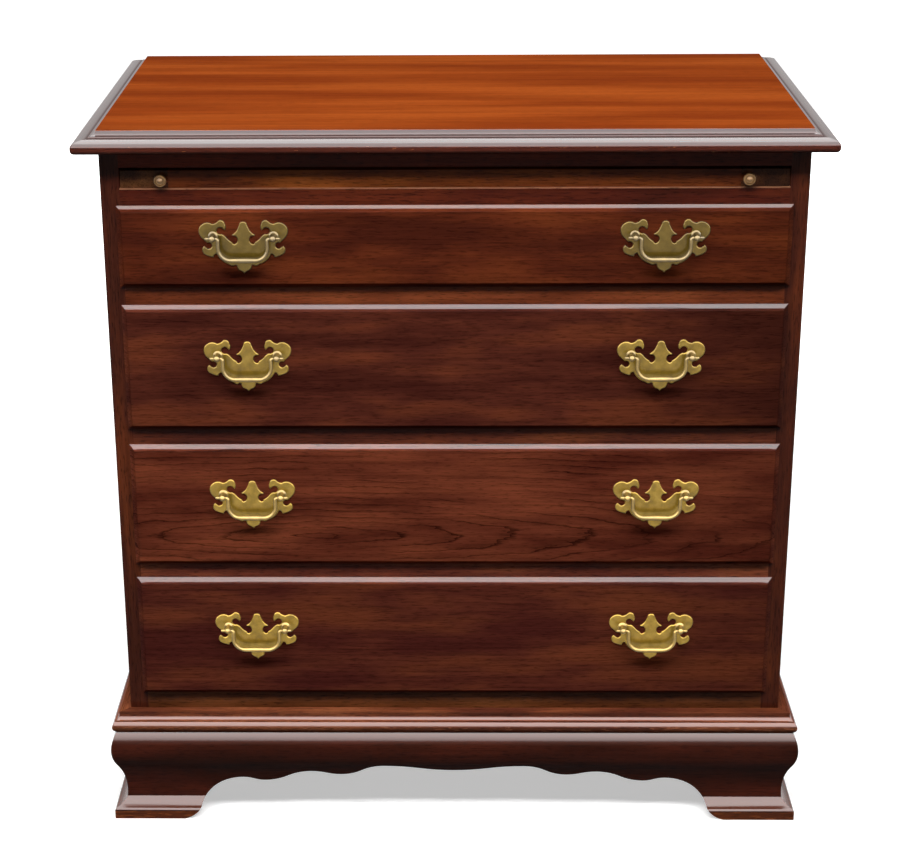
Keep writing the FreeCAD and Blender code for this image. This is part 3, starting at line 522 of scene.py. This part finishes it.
@dataclass(frozen=True)
class AgedBrass:
    """Cast brass, tumbled smooth, lacquered, and browned by age.

    The eye sees a soft olive gold with faint mottling, bright lines along the bevels, and a
    pale gleam where the lacquer catches the light.
    """

    name: str
    dull: str = "#69531D"
    middle: str = "#7D6422"
    clear: str = "#907530"
    # Share of its colour left. On the drawers' brass this darkening is painted shade.
    tone: float = 1.0
    tone_stops: Triple = (0.3, 0.5, 0.72)
    mottle_mm: float = 9.0
    mottle_octaves: float = 4.0
    rough: Pair = (0.32, 0.42)
    rough_levels: Pair = (0.3, 0.7)
    pit_mm: float = 0.9
    pit_octaves: float = 2.0
    pit_bump: float = 0.12
    pit_depth_mm: float = 0.12
    lacquer: float = 0.34
    gloss: float = 0.14

    def shade_dimmed(self, code: str) -> Colour:
        """A colour dimmed by the tone, which on the drawers' brass is painted shade."""
        red, green, blue, alpha = linear(code)
        return (red * self.tone, green * self.tone, blue * self.tone, alpha)

    def material(self) -> Material:
        """Build the finish.

        Returns:
            The material with its mottled tone and grainy surface.
        """
        material, tree, output = blank_material(self.name)
        spot = add(tree, "TexCoord").outputs["Object"]
        mottle, pits = (
            add(tree, "TexNoise", {"Vector": spot, "Scale": PER_MM / size, "Detail": octaves})
            for size, octaves in ((self.mottle_mm, self.mottle_octaves),
                                  (self.pit_mm, self.pit_octaves)))
        tones = map(self.shade_dimmed, (self.dull, self.middle, self.clear))
        tone = add(tree, "ValToRGB", {0: mottle.outputs[0]}, list(zip(self.tone_stops, tones)))
        low, high = self.rough_levels
        rough = add(tree, "MapRange", {0: mottle.outputs[0], 1: low, 2: high, 3: self.rough[1],
                                       4: self.rough[0]})
        bump = add(tree, "Bump", {"Height": pits.outputs[0], "Strength": self.pit_bump,
                                  "Distance": self.pit_depth_mm * MM})
        shader = add(tree, "BsdfPrincipled", {
            "Base Color": tone.outputs[0], "Metallic": 1.0, "Roughness": rough.outputs[0],
            "Coat Weight": self.lacquer, "Coat Roughness": self.gloss, "Normal": bump.outputs[0]})
        tree.links.new(shader.outputs[0], output.inputs["Surface"])
        return material


@dataclass(frozen=True)
class ZincScrew:
    """Zinc-plated steel screws under the top, dull grey with a faint cloud."""

    name: str = "zinc_plated_steel"
    dull: str = "#77777A"
    clear: str = "#A9A9AC"
    tone_stops: Pair = (0.3, 0.7)
    cloud_mm: float = 3.0
    cloud_octaves: float = 3.0
    roughness: float = 0.4

    def material(self) -> Material:
        """Build the finish.

        Returns:
            The material with its clouded grey.
        """
        material, tree, output = blank_material(self.name)
        spot = add(tree, "TexCoord").outputs["Object"]
        cloud = add(tree, "TexNoise", {"Vector": spot, "Scale": PER_MM / self.cloud_mm,
                                       "Detail": self.cloud_octaves})
        tone = add(tree, "ValToRGB", {0: cloud.outputs[0]}, stains(
            self.tone_stops, self.dull, self.clear))
        shader = add(tree, "BsdfPrincipled", {"Base Color": tone.outputs[0], "Metallic": 1.0,
                                              "Roughness": self.roughness})
        tree.links.new(shader.outputs[0], output.inputs["Surface"])
        return material


def dress(nodes: Iterable[str], material: Material) -> None:
    """Give CAD nodes a finish in all their material slots.

    Args:
        nodes: Names of the CAD nodes.
        material: Finish that they take.
    """
    for name in nodes:
        slots = frame["nodes"][name].data.materials
        slots.clear()
        slots.append(material)
        log.info("dressed %s in %s", name, material.name)


def solid(name: str, points: np.ndarray, faces: Sequence[Sequence[int]],
          material: Material, sharp_degrees: float) -> bpy.types.Object:
    """Smooth-shaded piece from its points and faces.

    Args:
        name: Name of the piece.
        points: Points in metres, one row each.
        faces: Indices of the points round each face.
        material: Finish of the piece.
        sharp_degrees: Angle past which an edge is drawn sharp.

    Returns:
        The linked object, with its place in its mesh.
    """
    mesh = bpy.data.meshes.new(name)
    mesh.from_pydata(points.tolist(), [], faces)
    mesh.polygons.foreach_set("use_smooth", np.ones(len(mesh.polygons), dtype=bool))
    mesh.set_sharp_from_angle(angle=math.radians(sharp_degrees))
    mesh.materials.append(material)
    mesh.update()
    piece = bpy.data.objects.new(name, mesh)
    bpy.context.scene.collection.objects.link(piece)
    return piece


def tube_faces(rows: int, columns: int) -> list[list[int]]:
    """Faces of a tube of rings, closed at both ends.

    Args:
        rows: How many rings.
        columns: How many points in each ring.

    Returns:
        Indices of the points round each face.
    """
    row, column = np.meshgrid(np.arange(rows - 1), np.arange(columns), indexing="ij")
    ahead = (column + 1) % columns
    quads = np.stack((row * columns + column, row * columns + ahead,
                      (row + 1) * columns + ahead, (row + 1) * columns + column), axis=-1)
    ends = [np.arange(columns)[::-1].tolist(), (np.arange(columns) + (rows - 1) * columns).tolist()]
    return quads.reshape(-1, 4).tolist() + ends


def net(points: np.ndarray, rim: int) -> np.ndarray:
    """Triangles between points on a flat, kept inside a rim.

    Args:
        points: Points across and up, those of the rim first and counterclockwise.
        rim: How many points the rim has.

    Returns:
        Three indices into the points for each triangle, counterclockwise.
    """
    inside_only = 1
    merge_within = 1e-6
    _, _, triangles, origins, _, _ = delaunay_2d_cdt(
        list(map(Vector, points.tolist())), [], [list(range(rim))], inside_only, merge_within)
    source = np.array([origin[0] for origin in origins])
    return source[np.array(triangles)]


def arc_points(start: np.ndarray, through: np.ndarray, end: np.ndarray, steps: int) -> np.ndarray:
    """Points on the circle through three points, without the first one.

    The centre is where the two perpendicular bisectors meet. The angle runs evenly from the
    first point to the last by way of the middle one.

    Args:
        start: First point.
        through: Point on the arc between the ends.
        end: Last point.
        steps: How many points to give.

    Returns:
        The points, one row each.
    """
    ways = 2.0 * np.stack((through - start, end - start))
    sums = np.array([through @ through - start @ start, end @ end - start @ start])
    centre = np.linalg.solve(ways, sums)
    spokes = np.stack((start, through, end)) - centre
    angles = np.unwrap(np.arctan2(spokes[:, 1], spokes[:, 0]))
    turns = np.linspace(angles[0], angles[2], steps + 1)[1:]
    radius = np.linalg.norm(spokes[0])
    return centre + radius * np.stack((np.cos(turns), np.sin(turns)), axis=1)


@dataclass
class Pull:
    """One bail pull on a drawer: cut-out back plate and swinging bail, in millimetres."""

    drawer: int
    hand: Hand
    brass: Material
    handled: Material
    boring: float = 63.5
    # Distance inwards from the outline and height over the drawer face.
    bevel: Pairs = ((0.0, 0.7), (0.3, 1.2), (0.7, 1.48), (1.1, 1.6), (1.5, 1.6))
    outline_points: int = 720
    arc_steps: int = 24
    line_steps: int = 8
    tangent_reach: int = 3
    clear_share: float = 0.95
    plate_sharp_degrees: float = 50.0
    arm_inset: float = 6.15
    bend: float = 2.6
    corner: Pair = (13.0, 12.5)
    drop: float = 23.5
    pin_radius: float = 1.5
    pin_overrun: float = 8.0
    arm_radius: float = 2.0
    grip_radius: float = 2.8
    swell_from: float = 0.45
    tip_least: float = 0.02
    ring_points: int = 28
    quarter_points: int = 17
    grip_points: int = 24
    arm_points: int = 8
    pin_points: int = 14
    bail_sharp_degrees: float = 60.0
    # Left half of the plate outline from the finial down, in shares of half the boring. Each
    # row is an arc by its middle and end, or a line by its end alone.
    outline: tuple[tuple[float, ...], ...] = (
        (-0.098, 0.45, -0.13, 0.37), (-0.178, 0.262), (-0.25, 0.14, -0.384, 0.038), (-0.375, 0.003),
        (-0.261, -0.013), (-0.198, -0.145, -0.271, -0.265), (-0.337, -0.271, -0.372, -0.211),
        (-0.479, -0.142, -0.573, -0.044), (-0.636, 0.019, -0.715, 0.066),
        (-0.876, 0.17, -0.699, 0.268), (-0.617, 0.183), (-0.567, 0.302, -0.595, 0.397),
        (-0.68, 0.526, -0.806, 0.523), (-0.907, 0.441, -1.017, 0.409),
        (-1.172, 0.46, -1.329, 0.409), (-1.449, 0.277, -1.474, 0.154),
        (-1.43, 0.003, -1.329, -0.113), (-1.203, -0.236), (-1.049, -0.328, -1.213, -0.413),
        (-1.298, -0.34), (-1.376, -0.498, -1.291, -0.636), (-1.146, -0.699, -1.008, -0.731),
        (-0.973, -0.649, -0.894, -0.617), (-0.731, -0.844, -0.485, -0.973),
        (-0.391, -1.024, -0.302, -0.986), (-0.243, -1.008), (-0.22, -1.112, -0.126, -1.194),
        (-0.054, -1.228, 0.0, -1.291))
    finial: float = 0.485
    pivot: Vector = field(init=False)

    def __post_init__(self) -> None:
        """Find the pin of the bail from the CAD bail's own box."""
        low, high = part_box(self.bail_name)
        height = low.z + (self.drop + self.grip_radius) * MM
        self.pivot = Vector(((low.x + high.x) / 2, (low.y + high.y) / 2, height))

    @property
    def body(self) -> str:
        """Body of the drawer that carries the plate."""
        return f"drawer_{self.drawer}"

    @property
    def bail_name(self) -> str:
        """Name of the bail's CAD node and body."""
        return f"drawer_{self.drawer}_{self.hand.value}_bail"

    def outline_mm(self) -> np.ndarray:
        """Closed outline of the plate in millimetres about the middle of the posts.

        Lines and arcs run down the left half, and the right half is its mirror image. The
        whole is then laid out at even steps, which rounds the sharp corners a little.

        Returns:
            Points in order, across and up.
        """
        runs = [np.array([[0.0, self.finial]])]
        for row in self.outline:
            start = runs[-1][-1]
            end = np.array(row[-2:])
            if len(row) == 4:
                runs.append(arc_points(start, np.array(row[:2]), end, self.arc_steps))
            else:
                runs.append(np.linspace(start, end, self.line_steps + 1)[1:])
        left = np.concatenate(runs) * self.boring / 2
        right = left[-2:0:-1] * np.array([-1.0, 1.0])
        loop = np.concatenate((left, right, left[:1]))
        way = np.concatenate(([0.0], np.cumsum(np.linalg.norm(np.diff(loop, axis=0), axis=1))))
        even = np.linspace(0.0, way[-1], self.outline_points, endpoint=False)
        return np.stack((np.interp(even, way, loop[:, 0]), np.interp(even, way, loop[:, 1])), axis=1)

    def plate(self) -> bpy.types.Object:
        """Back plate with a rounded bevel.

        The outline stands up from the drawer face as a wall. Over it lies a net of triangles
        between the outline and copies of it moved inwards. Each point of the net is as high
        as the bevel is at its distance from the outline.

        Returns:
            The plate.
        """
        loop = self.outline_mm()
        count = len(loop)
        reach = self.tangent_reach
        tangent = np.roll(loop, -reach, axis=0) - np.roll(loop, reach, axis=0)
        inward = np.stack((-tangent[:, 1], tangent[:, 0]), axis=1)
        inward /= np.linalg.norm(inward, axis=1, keepdims=True)
        steps, heights = np.array(self.bevel).T
        inner = (loop + inward * steps[1:, None, None]).reshape(-1, 2)
        gap = np.linalg.norm(inner[:, None] - loop, axis=2).min(axis=1)
        clear = gap > self.clear_share * np.repeat(steps[1:], count)
        flat = np.concatenate((loop, inner[clear]))
        height = np.interp(np.concatenate((np.zeros(count), gap[clear])), steps, heights)
        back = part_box(f"drawer_{self.drawer}_pull_plates")[1].y
        across = np.concatenate((loop, flat)) * MM
        points = np.stack((self.pivot.x + across[:, 0],
                           back - np.concatenate((np.zeros(count), height)) * MM,
                           self.pivot.z + across[:, 1]), axis=1)
        here = np.arange(count)
        ahead = (here + 1) % count
        walls = np.stack((here, ahead, ahead + count, here + count), axis=1)
        faces = walls.tolist() + (net(flat, count) + count).tolist()
        faces += net(loop, count)[:, ::-1].tolist()
        piece = solid(f"drawer_{self.drawer}_{self.hand.value}_plate", points, faces, self.brass,
                      self.plate_sharp_degrees)
        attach(piece, self.body)
        return piece

    def bail_path(self) -> np.ndarray:
        """Middle line of the bail in millimetres, from the left pin to the right one.

        Straight pin, small round bend, straight arm, large oval corner, and half of the grip,
        joined end to end. The left half is the mirror image of the right.

        Returns:
            Points across and up from the pin.
        """
        pin = self.boring / 2
        arm = pin - self.arm_inset
        shoulder = arm + self.bend
        wide, tall = self.corner
        flat = arm - wide
        foot = tall - self.drop
        quarter = np.linspace(0.0, np.pi / 2, self.quarter_points)
        grip = np.linspace((0.0, -self.drop), (flat, -self.drop), self.grip_points)
        corner = np.stack((flat + wide * np.sin(quarter), foot - tall * np.cos(quarter)), axis=1)
        rise = np.linspace((arm, foot), (arm, -self.bend), self.arm_points)
        turn = np.stack((shoulder - self.bend * np.cos(quarter),
                         -self.bend + self.bend * np.sin(quarter)), axis=1)
        end = np.linspace((shoulder, 0.0), (pin + self.pin_overrun, 0.0), self.pin_points)
        half = np.concatenate((grip, corner[1:], rise[1:], turn[1:], end[1:]))
        return np.concatenate((half[:0:-1] * np.array([-1.0, 1.0]), half))

    def bail(self) -> bpy.types.Object:
        """Bail with a grip that swells to the middle.

        A circle is carried along the middle line. Its radius is the arm's, plus a swell that
        follows a squared cosine over the grip, less a step down to the pins, and it closes to
        a rounded tip at each end.

        Returns:
            The bail.
        """
        path = self.bail_path()
        step = np.gradient(path, axis=0)
        step /= np.linalg.norm(step, axis=1, keepdims=True)
        side = np.stack((-step[:, 1], step[:, 0]), axis=1)
        reach = np.abs(path[:, 0])
        arm = self.boring / 2 - self.arm_inset
        start = self.swell_from * self.drop
        low = np.clip((-path[:, 1] - start) / (self.drop - start), 0.0, 1.0)
        swell = (self.grip_radius - self.arm_radius) * low * np.cos(
            np.clip(reach / arm, 0.0, 1.0) * np.pi / 2) ** 2
        thin = np.clip((reach - arm) / self.bend, 0.0, 1.0)
        radius = self.arm_radius + swell - thin * (self.arm_radius - self.pin_radius)
        tip = np.clip((reach.max() - reach) / self.pin_radius, 0.0, 1.0)
        radius = radius * np.sqrt(np.clip(1.0 - (1.0 - tip) ** 2, self.tip_least, 1.0))
        turn = np.linspace(0.0, 2 * np.pi, self.ring_points, endpoint=False)
        out = side[:, None, :] * (radius[:, None] * np.cos(turn))[:, :, None]
        depth = -radius[:, None] * np.sin(turn)
        points = np.stack((self.pivot.x + (path[:, None, 0] + out[:, :, 0]) * MM,
                           self.pivot.y + depth * MM,
                           self.pivot.z + (path[:, None, 1] + out[:, :, 1]) * MM), axis=-1)
        piece = solid(f"{self.bail_name}_swell", points.reshape(-1, 3),
                      tube_faces(*points.shape[:2]), self.handled, self.bail_sharp_degrees)
        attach(piece, self.bail_name)
        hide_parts(self.bail_name)
        return piece

    def build(self) -> bpy.types.Object:
        """Make the plate and the bail.

        Returns:
            The plate.
        """
        plate = self.plate()
        bail = self.bail()
        log.info("built %s and %s", plate.name, bail.name)
        return plate


@dataclass
class DrawerDress:
    """Finish and pulls of one drawer, counted from the top."""

    number: int
    face: LacqueredCherry
    # Share of the brass colour left: darker on the upper drawers, which is painted shade.
    tone: float
    inside: Woods
    handled_least_tone: float = 0.36
    handled_rough: Pair = (0.36, 0.46)
    handled_lacquer: float = 0.95
    handled_gloss: float = 0.28

    def build(self) -> None:
        """Dress the CAD pieces of the drawer and make its two pulls."""
        name = f"drawer_{self.number}"
        brass = AgedBrass(f"aged_brass_{self.number}", tone=self.tone).material()
        # Hands have worn the bails satin, and their thicker lacquer gleams whiter. They share the
        # drawer's painted shade, but no darker than the least tone.
        handled = AgedBrass(f"handled_brass_{self.number}", rough=self.handled_rough,
                            tone=max(self.tone, self.handled_least_tone),
                            lacquer=self.handled_lacquer, gloss=self.handled_gloss).material()
        finishes = {"front": self.face.material(), "sides": self.inside[BareBoard.DEEP],
                    "back": self.inside[BareBoard.ACROSS],
                    "bottom": self.inside[BareBoard.BOTTOM], "pull_posts": handled}
        for part, material in finishes.items():
            dress([f"{name}_{part}"], material)
        plates = [Pull(self.number, hand, brass, handled).build() for hand in Hand]
        for plate in plates:
            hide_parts(f"{name}_pull_plates")


@dataclass
class CaseWork:
    """Fixed boards of the case, its top and its bracket base. Levels are in millimetres."""

    # Lighter and more orange on the flat: faded, and painted light for the stronger light from
    # above. Its bands are the dark moulded edge, the nose of that edge (stained lighter as painted
    # light for the light its small upright faces catch), nicks on the nose and chips along the rim
    # of the flat.
    top: LacqueredCherry = LacqueredCherry(
        "cherry_top_faded_and_painted_light", Grain.ACROSS, "#7A310C", "#873A10", "#954516", seed=1.0,
        bands=(Band(770.0, 801.6, "#3C1B15"), Band(770.0, 790.5, "#56271C"),
               Band(781.0, 790.0, "#A0603A", (9.0, 2.5), 0.66),
               Band(801.6, 803.0, "#B98048", (2.6, 1.8), 0.77)),
        patch_mm=(420.0, 46.0), streak_mm=(420.0, 6.0), streak_strength=0.45, pore_strength=0.3,
        lean_stops=(0.0, 0.22, 0.985, 0.9995), sheen_edge=0.72)
    # CAD node, material, stain and seed of each rail that is stained all over.
    rails: tuple[tuple[str, str, Stain, float], ...] = (
        ("top_rail", "cherry_top_rail", ("#551D0C", "#6C2510", "#823013"), 2.0),
        ("rail_below_drawer_1", "cherry_upper_rail", ("#572510", "#6B321A", "#7D3F21"), 2.4),
        ("rail_below_drawer_2", "cherry_middle_rail", ("#471F15", "#562819", "#6B3720"), 2.7),
        ("rail_below_drawer_3", "cherry_lower_rail", ("#55261B", "#673122", "#80442A"), 2.8),
        ("bottom_rail", "cherry_bottom_rail", ("#4A2613", "#5B3119", "#6C3D20"), 2.9))
    # A pale band painted along its upper edge stands for the light that edge catches: a painted
    # highlight.
    slide_rail: LacqueredCherry = LacqueredCherry(
        "cherry_slide_rail", Grain.ACROSS, "#3A140A", "#47190E", "#562211", seed=2.2,
        bands=(Band(739.0, 742.0, "#96654A"),))
    sides: LacqueredCherry = LacqueredCherry(
        "cherry_sides", Grain.UPRIGHT, "#3A180E", "#481F12", "#5C2A15", seed=3.0)
    # Moulding between case and base: a shade lighter, with a worn ledge, and a lighter colour painted
    # where its edges lean up, which is painted light.
    moulding: LacqueredCherry = LacqueredCherry(
        "cherry_moulding_across", Grain.ACROSS, "#552A1D", "#6E3A24", "#884E31", seed=4.0,
        bands=(Band(111.0, 119.0, "#93573A", (14.0, 3.0), 0.58),),
        painted_lean_light="#7E4430", sheen_edge=0.92)
    # Bracket base: the darkest stain, worn off the pads of its feet, with a lighter colour painted
    # where its curves lean up, which is painted light.
    bracket: LacqueredCherry = LacqueredCherry(
        "cherry_bracket_across", Grain.ACROSS, "#331208", "#3C160B", "#491C10", seed=5.0,
        bands=(Band(-1.0, 10.0, "#64301A"), Band(-1.0, 10.0, "#8A4A26", (18.0, 3.0), 0.55)),
        lean_stops=(0.2, 0.48, 0.999, 1.0), painted_lean_light="#5A2C1C", sheen_edge=0.9)

    def build(self, inside: Woods) -> None:
        """Dress every fixed piece.

        Args:
            inside: Materials of the bare boards.
        """
        dress(["top_board"], self.top.material())
        for node, name, stain, seed in self.rails:
            dress([node], LacqueredCherry(name, Grain.ACROSS, *stain, seed=seed).material())
        dress(["slide_rail"], self.slide_rail.material())
        dress(["left_side", "right_side"], self.sides.material())
        dress(["base_moulding_front"], self.moulding.material())
        dress(["base_moulding_left", "base_moulding_right"], replace(
            self.moulding, name="cherry_moulding_deep", grain=Grain.DEEP, seed=4.5).material())
        dress(["ogee_base_front"], self.bracket.material())
        dress(["ogee_base_left", "ogee_base_right"], replace(
            self.bracket, name="cherry_bracket_deep", grain=Grain.DEEP, seed=5.5).material())
        dress(["back_rails", "base_back_rail", "rear_feet"], inside[BareBoard.ACROSS])
        dress(["side_runners"], inside[BareBoard.DEEP])
        dress(["corner_blocks"], inside[BareBoard.UPRIGHT])
        dress(["back_panel"], inside[BareBoard.BACK])
        dress(["top_screws"], ZincScrew().material())


@dataclass
class SlideDress:
    """Finish of the pull-out slide and its knobs."""

    panel: LacqueredCherry = LacqueredCherry("cherry_slide", Grain.ACROSS, "#572610", "#6F3414",
                                             "#89481C", seed=6.0, patch_mm=(170.0, 44.0))
    ends: LacqueredCherry = LacqueredCherry("cherry_slide_ends", Grain.DEEP, "#351D0F", "#4C2A16",
                                            "#6F4525", seed=7.0)
    knobs: AgedBrass = AgedBrass("bronzed_brass", "#3B2917", "#4B361D", "#5F462A",
                                 rough=(0.32, 0.44))

    def build(self, inside: Woods) -> None:
        """Dress the pieces of the slide.

        Args:
            inside: Materials of the bare boards.
        """
        dress(["slide_panel"], self.panel.material())
        dress(["slide_end_left", "slide_end_right"], self.ends.material())
        dress(["slide_stops"], inside[BareBoard.UPRIGHT])
        dress(["slide_knobs"], self.knobs.material())


def seen_rays(tree: Tree) -> Socket:
    """Mask of the rays that show a surface to the eye: straight, in a mirror or through glass.

    Args:
        tree: Node tree of a material or of the world.

    Returns:
        One for such a ray, and zero for others.
    """
    rays = add(tree, "LightPath").outputs
    seen = rays["Is Camera Ray"]
    for kind in ("Is Glossy Ray", "Is Transmission Ray"):
        seen = add(tree, "Math", {0: seen, 1: rays[kind]}, operation="MAXIMUM").outputs[0]
    return seen


class Light(Enum):
    """What a lamp is for: even light on surfaces, or a shape to see in glossy ones."""

    FILL = "fill"
    REFLECTION = "reflection"


@dataclass(frozen=True)
class Softbox:
    """Flat studio lamp: where it stands, what it faces, its size and how bright it looks."""

    name: str
    role: Light
    place: Triple
    aim: Triple
    width: float
    height: float
    radiance: float

    def build(self) -> None:
        """Set up the lamp. Its power is its brightness times pi times its area."""
        lamp = bpy.data.lights.new(self.name, "AREA")
        lamp.shape = "RECTANGLE"
        lamp.size = self.width
        lamp.size_y = self.height
        lamp.energy = self.radiance * math.pi * self.width * self.height
        stand = bpy.data.objects.new(self.name, lamp)
        stand.visible_camera = False
        stand.visible_diffuse = self.role is Light.FILL
        stand.visible_glossy = self.role is Light.REFLECTION
        way = (Vector(self.aim) - Vector(self.place)).to_track_quat("-Z", "Y")
        stand.matrix_world = Matrix.Translation(self.place) @ way.to_matrix().to_4x4()
        bpy.context.scene.collection.objects.link(stand)


@dataclass
class Studio:
    """Pale floor, soft lamps, white surroundings and the camera."""

    floor_size: float = 40.0
    floor_paint: str = "#E8E8E8"
    floor_dim: str = "#302E2C"
    glow_reach: Pair = (0.5, 3.0)
    glow: Pair = (0.46, 0.92)
    white: str = "#FFFFFF"
    air: str = "#F6F3F0"
    ambient: float = 0.16
    softboxes: tuple[Softbox, ...] = (
        Softbox("key_softbox", Light.FILL, (0.0, -1.9, 3.25), (0.0, -0.15, 0.45), 4.0, 0.7, 19.2),
        Softbox("back_fill", Light.FILL, (0.0, 3.2, 1.0), (0.0, 0.2, 0.5), 4.0, 1.8, 2.6),
        Softbox("left_fill", Light.FILL, (-3.2, 0.9, 1.0), (0.0, 0.0, 0.45), 2.0, 1.8, 2.4),
        Softbox("right_fill", Light.FILL, (3.2, 0.9, 1.0), (0.0, 0.0, 0.45), 2.0, 1.8, 2.4),
        Softbox("tent_ceiling", Light.REFLECTION, (0.0, -0.45, 3.0), (0.0, -0.45, 0.0), 7.0, 6.1, 7.6),
        Softbox("tent_front", Light.REFLECTION, (0.0, -3.5, 1.8), (0.0, 0.0, 1.8), 7.0, 2.4, 7.6),
        Softbox("tent_left", Light.REFLECTION, (-3.5, -0.45, 1.8), (0.0, -0.45, 1.8), 6.1, 2.4, 7.6),
        Softbox("tent_right", Light.REFLECTION, (3.5, -0.45, 1.8), (0.0, -0.45, 1.8), 6.1, 2.4, 7.6),
    )
    focal_px: float = 2107.6
    eye_mm: Triple = (-9.2, -2340.2, 1278.7)
    # Yaw, pitch and roll.
    turn_degrees: Triple = (-1.083, 20.577, 0.432)
    centre_px: float = 408.0

    def floor(self) -> bpy.types.Object:
        """Plain pale floor that takes the shadow of the chest and runs out to white.

        To the eye it is pale paint with a glow that grows with the distance from the chest. To
        other rays it is dim, so that it throws little light up under the chest.

        Returns:
            The floor.
        """
        half = self.floor_size / 2
        corners = [(-half, -half, 0.0), (half, -half, 0.0), (half, half, 0.0), (-half, half, 0.0)]
        mesh = bpy.data.meshes.new("floor")
        mesh.from_pydata(corners, [], [(0, 1, 2, 3)])
        board = bpy.data.objects.new("floor", mesh)
        bpy.context.scene.collection.objects.link(board)
        material, tree, output = blank_material("pale_paint")
        spot = add(tree, "TexCoord").outputs["Object"]
        far = add(tree, "VectorMath", {0: spot}, operation="LENGTH").outputs["Value"]
        near, away = self.glow_reach
        least, most = self.glow
        glow = add(tree, "MapRange", {0: far, 1: near, 2: away, 3: least, 4: most})
        pale = add(tree, "BsdfDiffuse", {"Color": linear(self.floor_paint)})
        shine = add(tree, "Emission", {"Color": linear(self.white), "Strength": glow.outputs[0]})
        bright = add(tree, "AddShader", {0: pale.outputs[0], 1: shine.outputs[0]})
        dim = add(tree, "BsdfDiffuse", {"Color": linear(self.floor_dim)})
        mixed = add(tree, "MixShader", {0: seen_rays(tree), 1: dim.outputs[0], 2: bright.outputs[0]})
        tree.links.new(mixed.outputs[0], output.inputs["Surface"])
        mesh.materials.append(material)
        return board

    def surroundings(self) -> None:
        """White to the eye and in reflections, and a lower even light on everything else."""
        world = bpy.data.worlds.new("studio")
        bpy.context.scene.world = world
        world.use_nodes = True
        tree = world.node_tree
        tree.nodes.clear()
        white = add(tree, "Background", {"Color": linear(self.white), "Strength": 1.0})
        soft = add(tree, "Background", {"Color": linear(self.air), "Strength": self.ambient})
        mixed = add(tree, "MixShader", {0: seen_rays(tree), 1: soft.outputs[0], 2: white.outputs[0]})
        output = add(tree, "OutputWorld", {"Surface": mixed.outputs[0]})
        output.is_active_output = True

    def camera(self) -> None:
        """Camera at the place and turn that the photograph was taken from."""
        yaw, pitch, roll = map(math.radians, self.turn_degrees)
        ahead = Vector((math.sin(yaw) * math.cos(pitch), math.cos(yaw) * math.cos(pitch),
                        -math.sin(pitch)))
        level = Vector((math.cos(yaw), -math.sin(yaw), 0.0))
        down = ahead.cross(level)
        right = math.cos(roll) * level + math.sin(roll) * down
        up = math.sin(roll) * level - math.cos(roll) * down
        view = bpy.data.cameras.new("camera")
        view.sensor_width = SENSOR_MM
        view.lens = self.focal_px * SENSOR_MM / IMAGE_WIDTH
        view.shift_x = (IMAGE_WIDTH / 2 - self.centre_px) / IMAGE_WIDTH
        stand = bpy.data.objects.new("camera", view)
        turn = Matrix((right, up, -ahead)).transposed().to_4x4()
        stand.matrix_world = Matrix.Translation(Vector(self.eye_mm) * MM) @ turn
        bpy.context.scene.collection.objects.link(stand)
        bpy.context.scene.camera = stand

    def build(self) -> None:
        """Set up the floor, the lamps, the surroundings and the camera."""
        self.floor()
        for softbox in self.softboxes:
            softbox.build()
        self.surroundings()
        self.camera()
        bpy.context.scene.view_settings.view_transform = "Standard"
        log.info("studio set up with %d softboxes", len(self.softboxes))


def bare_woods() -> Woods:
    """Unfinished woods inside the chest.

    Returns:
        Material of each bare board.
    """
    poplar: dict[str, object] = {}
    lauan = {"deep": "#8A5F3C", "middle": "#A17650", "bright": "#B58C64", "band_mm": (380.0, 34.0)}
    rows = ((BareBoard.ACROSS, Grain.ACROSS, poplar), (BareBoard.DEEP, Grain.DEEP, poplar),
            (BareBoard.UPRIGHT, Grain.UPRIGHT, poplar), (BareBoard.BACK, Grain.UPRIGHT, lauan),
            (BareBoard.BOTTOM, Grain.ACROSS, lauan))
    return {board: BareWood(board.value, grain, seed=float(seed), **wood).material()
            for seed, (board, grain, wood) in enumerate(rows, start=1)}


def drawer_faces() -> list[LacqueredCherry]:
    """Veneer of each drawer face, top drawer first.

    Each has its own stain, growth lines and darker right end. That end is heartwood on the
    second drawer and painted shade on the first, third and fourth. The sheen on its lip is
    softer than on the mouldings.

    Returns:
        The four finishes.
    """
    first_seed = 11.0
    # The darker right ends of drawers 1, 3 and 4 are painted shade; drawer 2's is heartwood.
    rows = (
        (("#481E13", "#5B2817", "#6D331B"), Figure((150.0, 640.0), strength=0.3),
         HeartwoodAndShade(150.0, 330.0, 0.76)),
        (("#431D16", "#55281D", "#6A3421"), Figure((-250.0, 590.0), strength=0.3),
         HeartwoodAndShade(120.0, 330.0, 0.6)),
        (("#522318", "#673121", "#7C3E28"), Figure((-60.0, 350.0), strength=1.0),
         HeartwoodAndShade(150.0, 330.0, 0.86)),
        (("#4B201A", "#5B2B1F", "#6D3622"), Figure((120.0, 262.0), lean=0.04, strength=0.45),
         HeartwoodAndShade(150.0, 330.0, 0.8)))
    return [LacqueredCherry(f"cherry_drawer_{number}", Grain.ACROSS, *stain, first_seed + number - 1,
                            figure, heart_and_shade=heart_and_shade, pore_strength=0.6, streak_strength=0.6,
                            sheen_wall=0.03, sheen_edge=0.87, sheen_flat=0.2,
                            dull_before_mm=-210.9)
            for number, (stain, figure, heart_and_shade) in enumerate(rows, start=1)]


def main() -> None:
    """Build the studio, then dress the chest from the case to the pulls."""
    logging.basicConfig(level=logging.INFO, format="%(name)s: %(message)s")
    Studio().build()
    inside = bare_woods()
    CaseWork().build(inside)
    SlideDress().build(inside)
    for number, (face, tone) in enumerate(zip(drawer_faces(), BRASS_SHADE_TONES), start=1):
        DrawerDress(number, face, tone, inside).build()


if __name__ == "__main__":
    main()
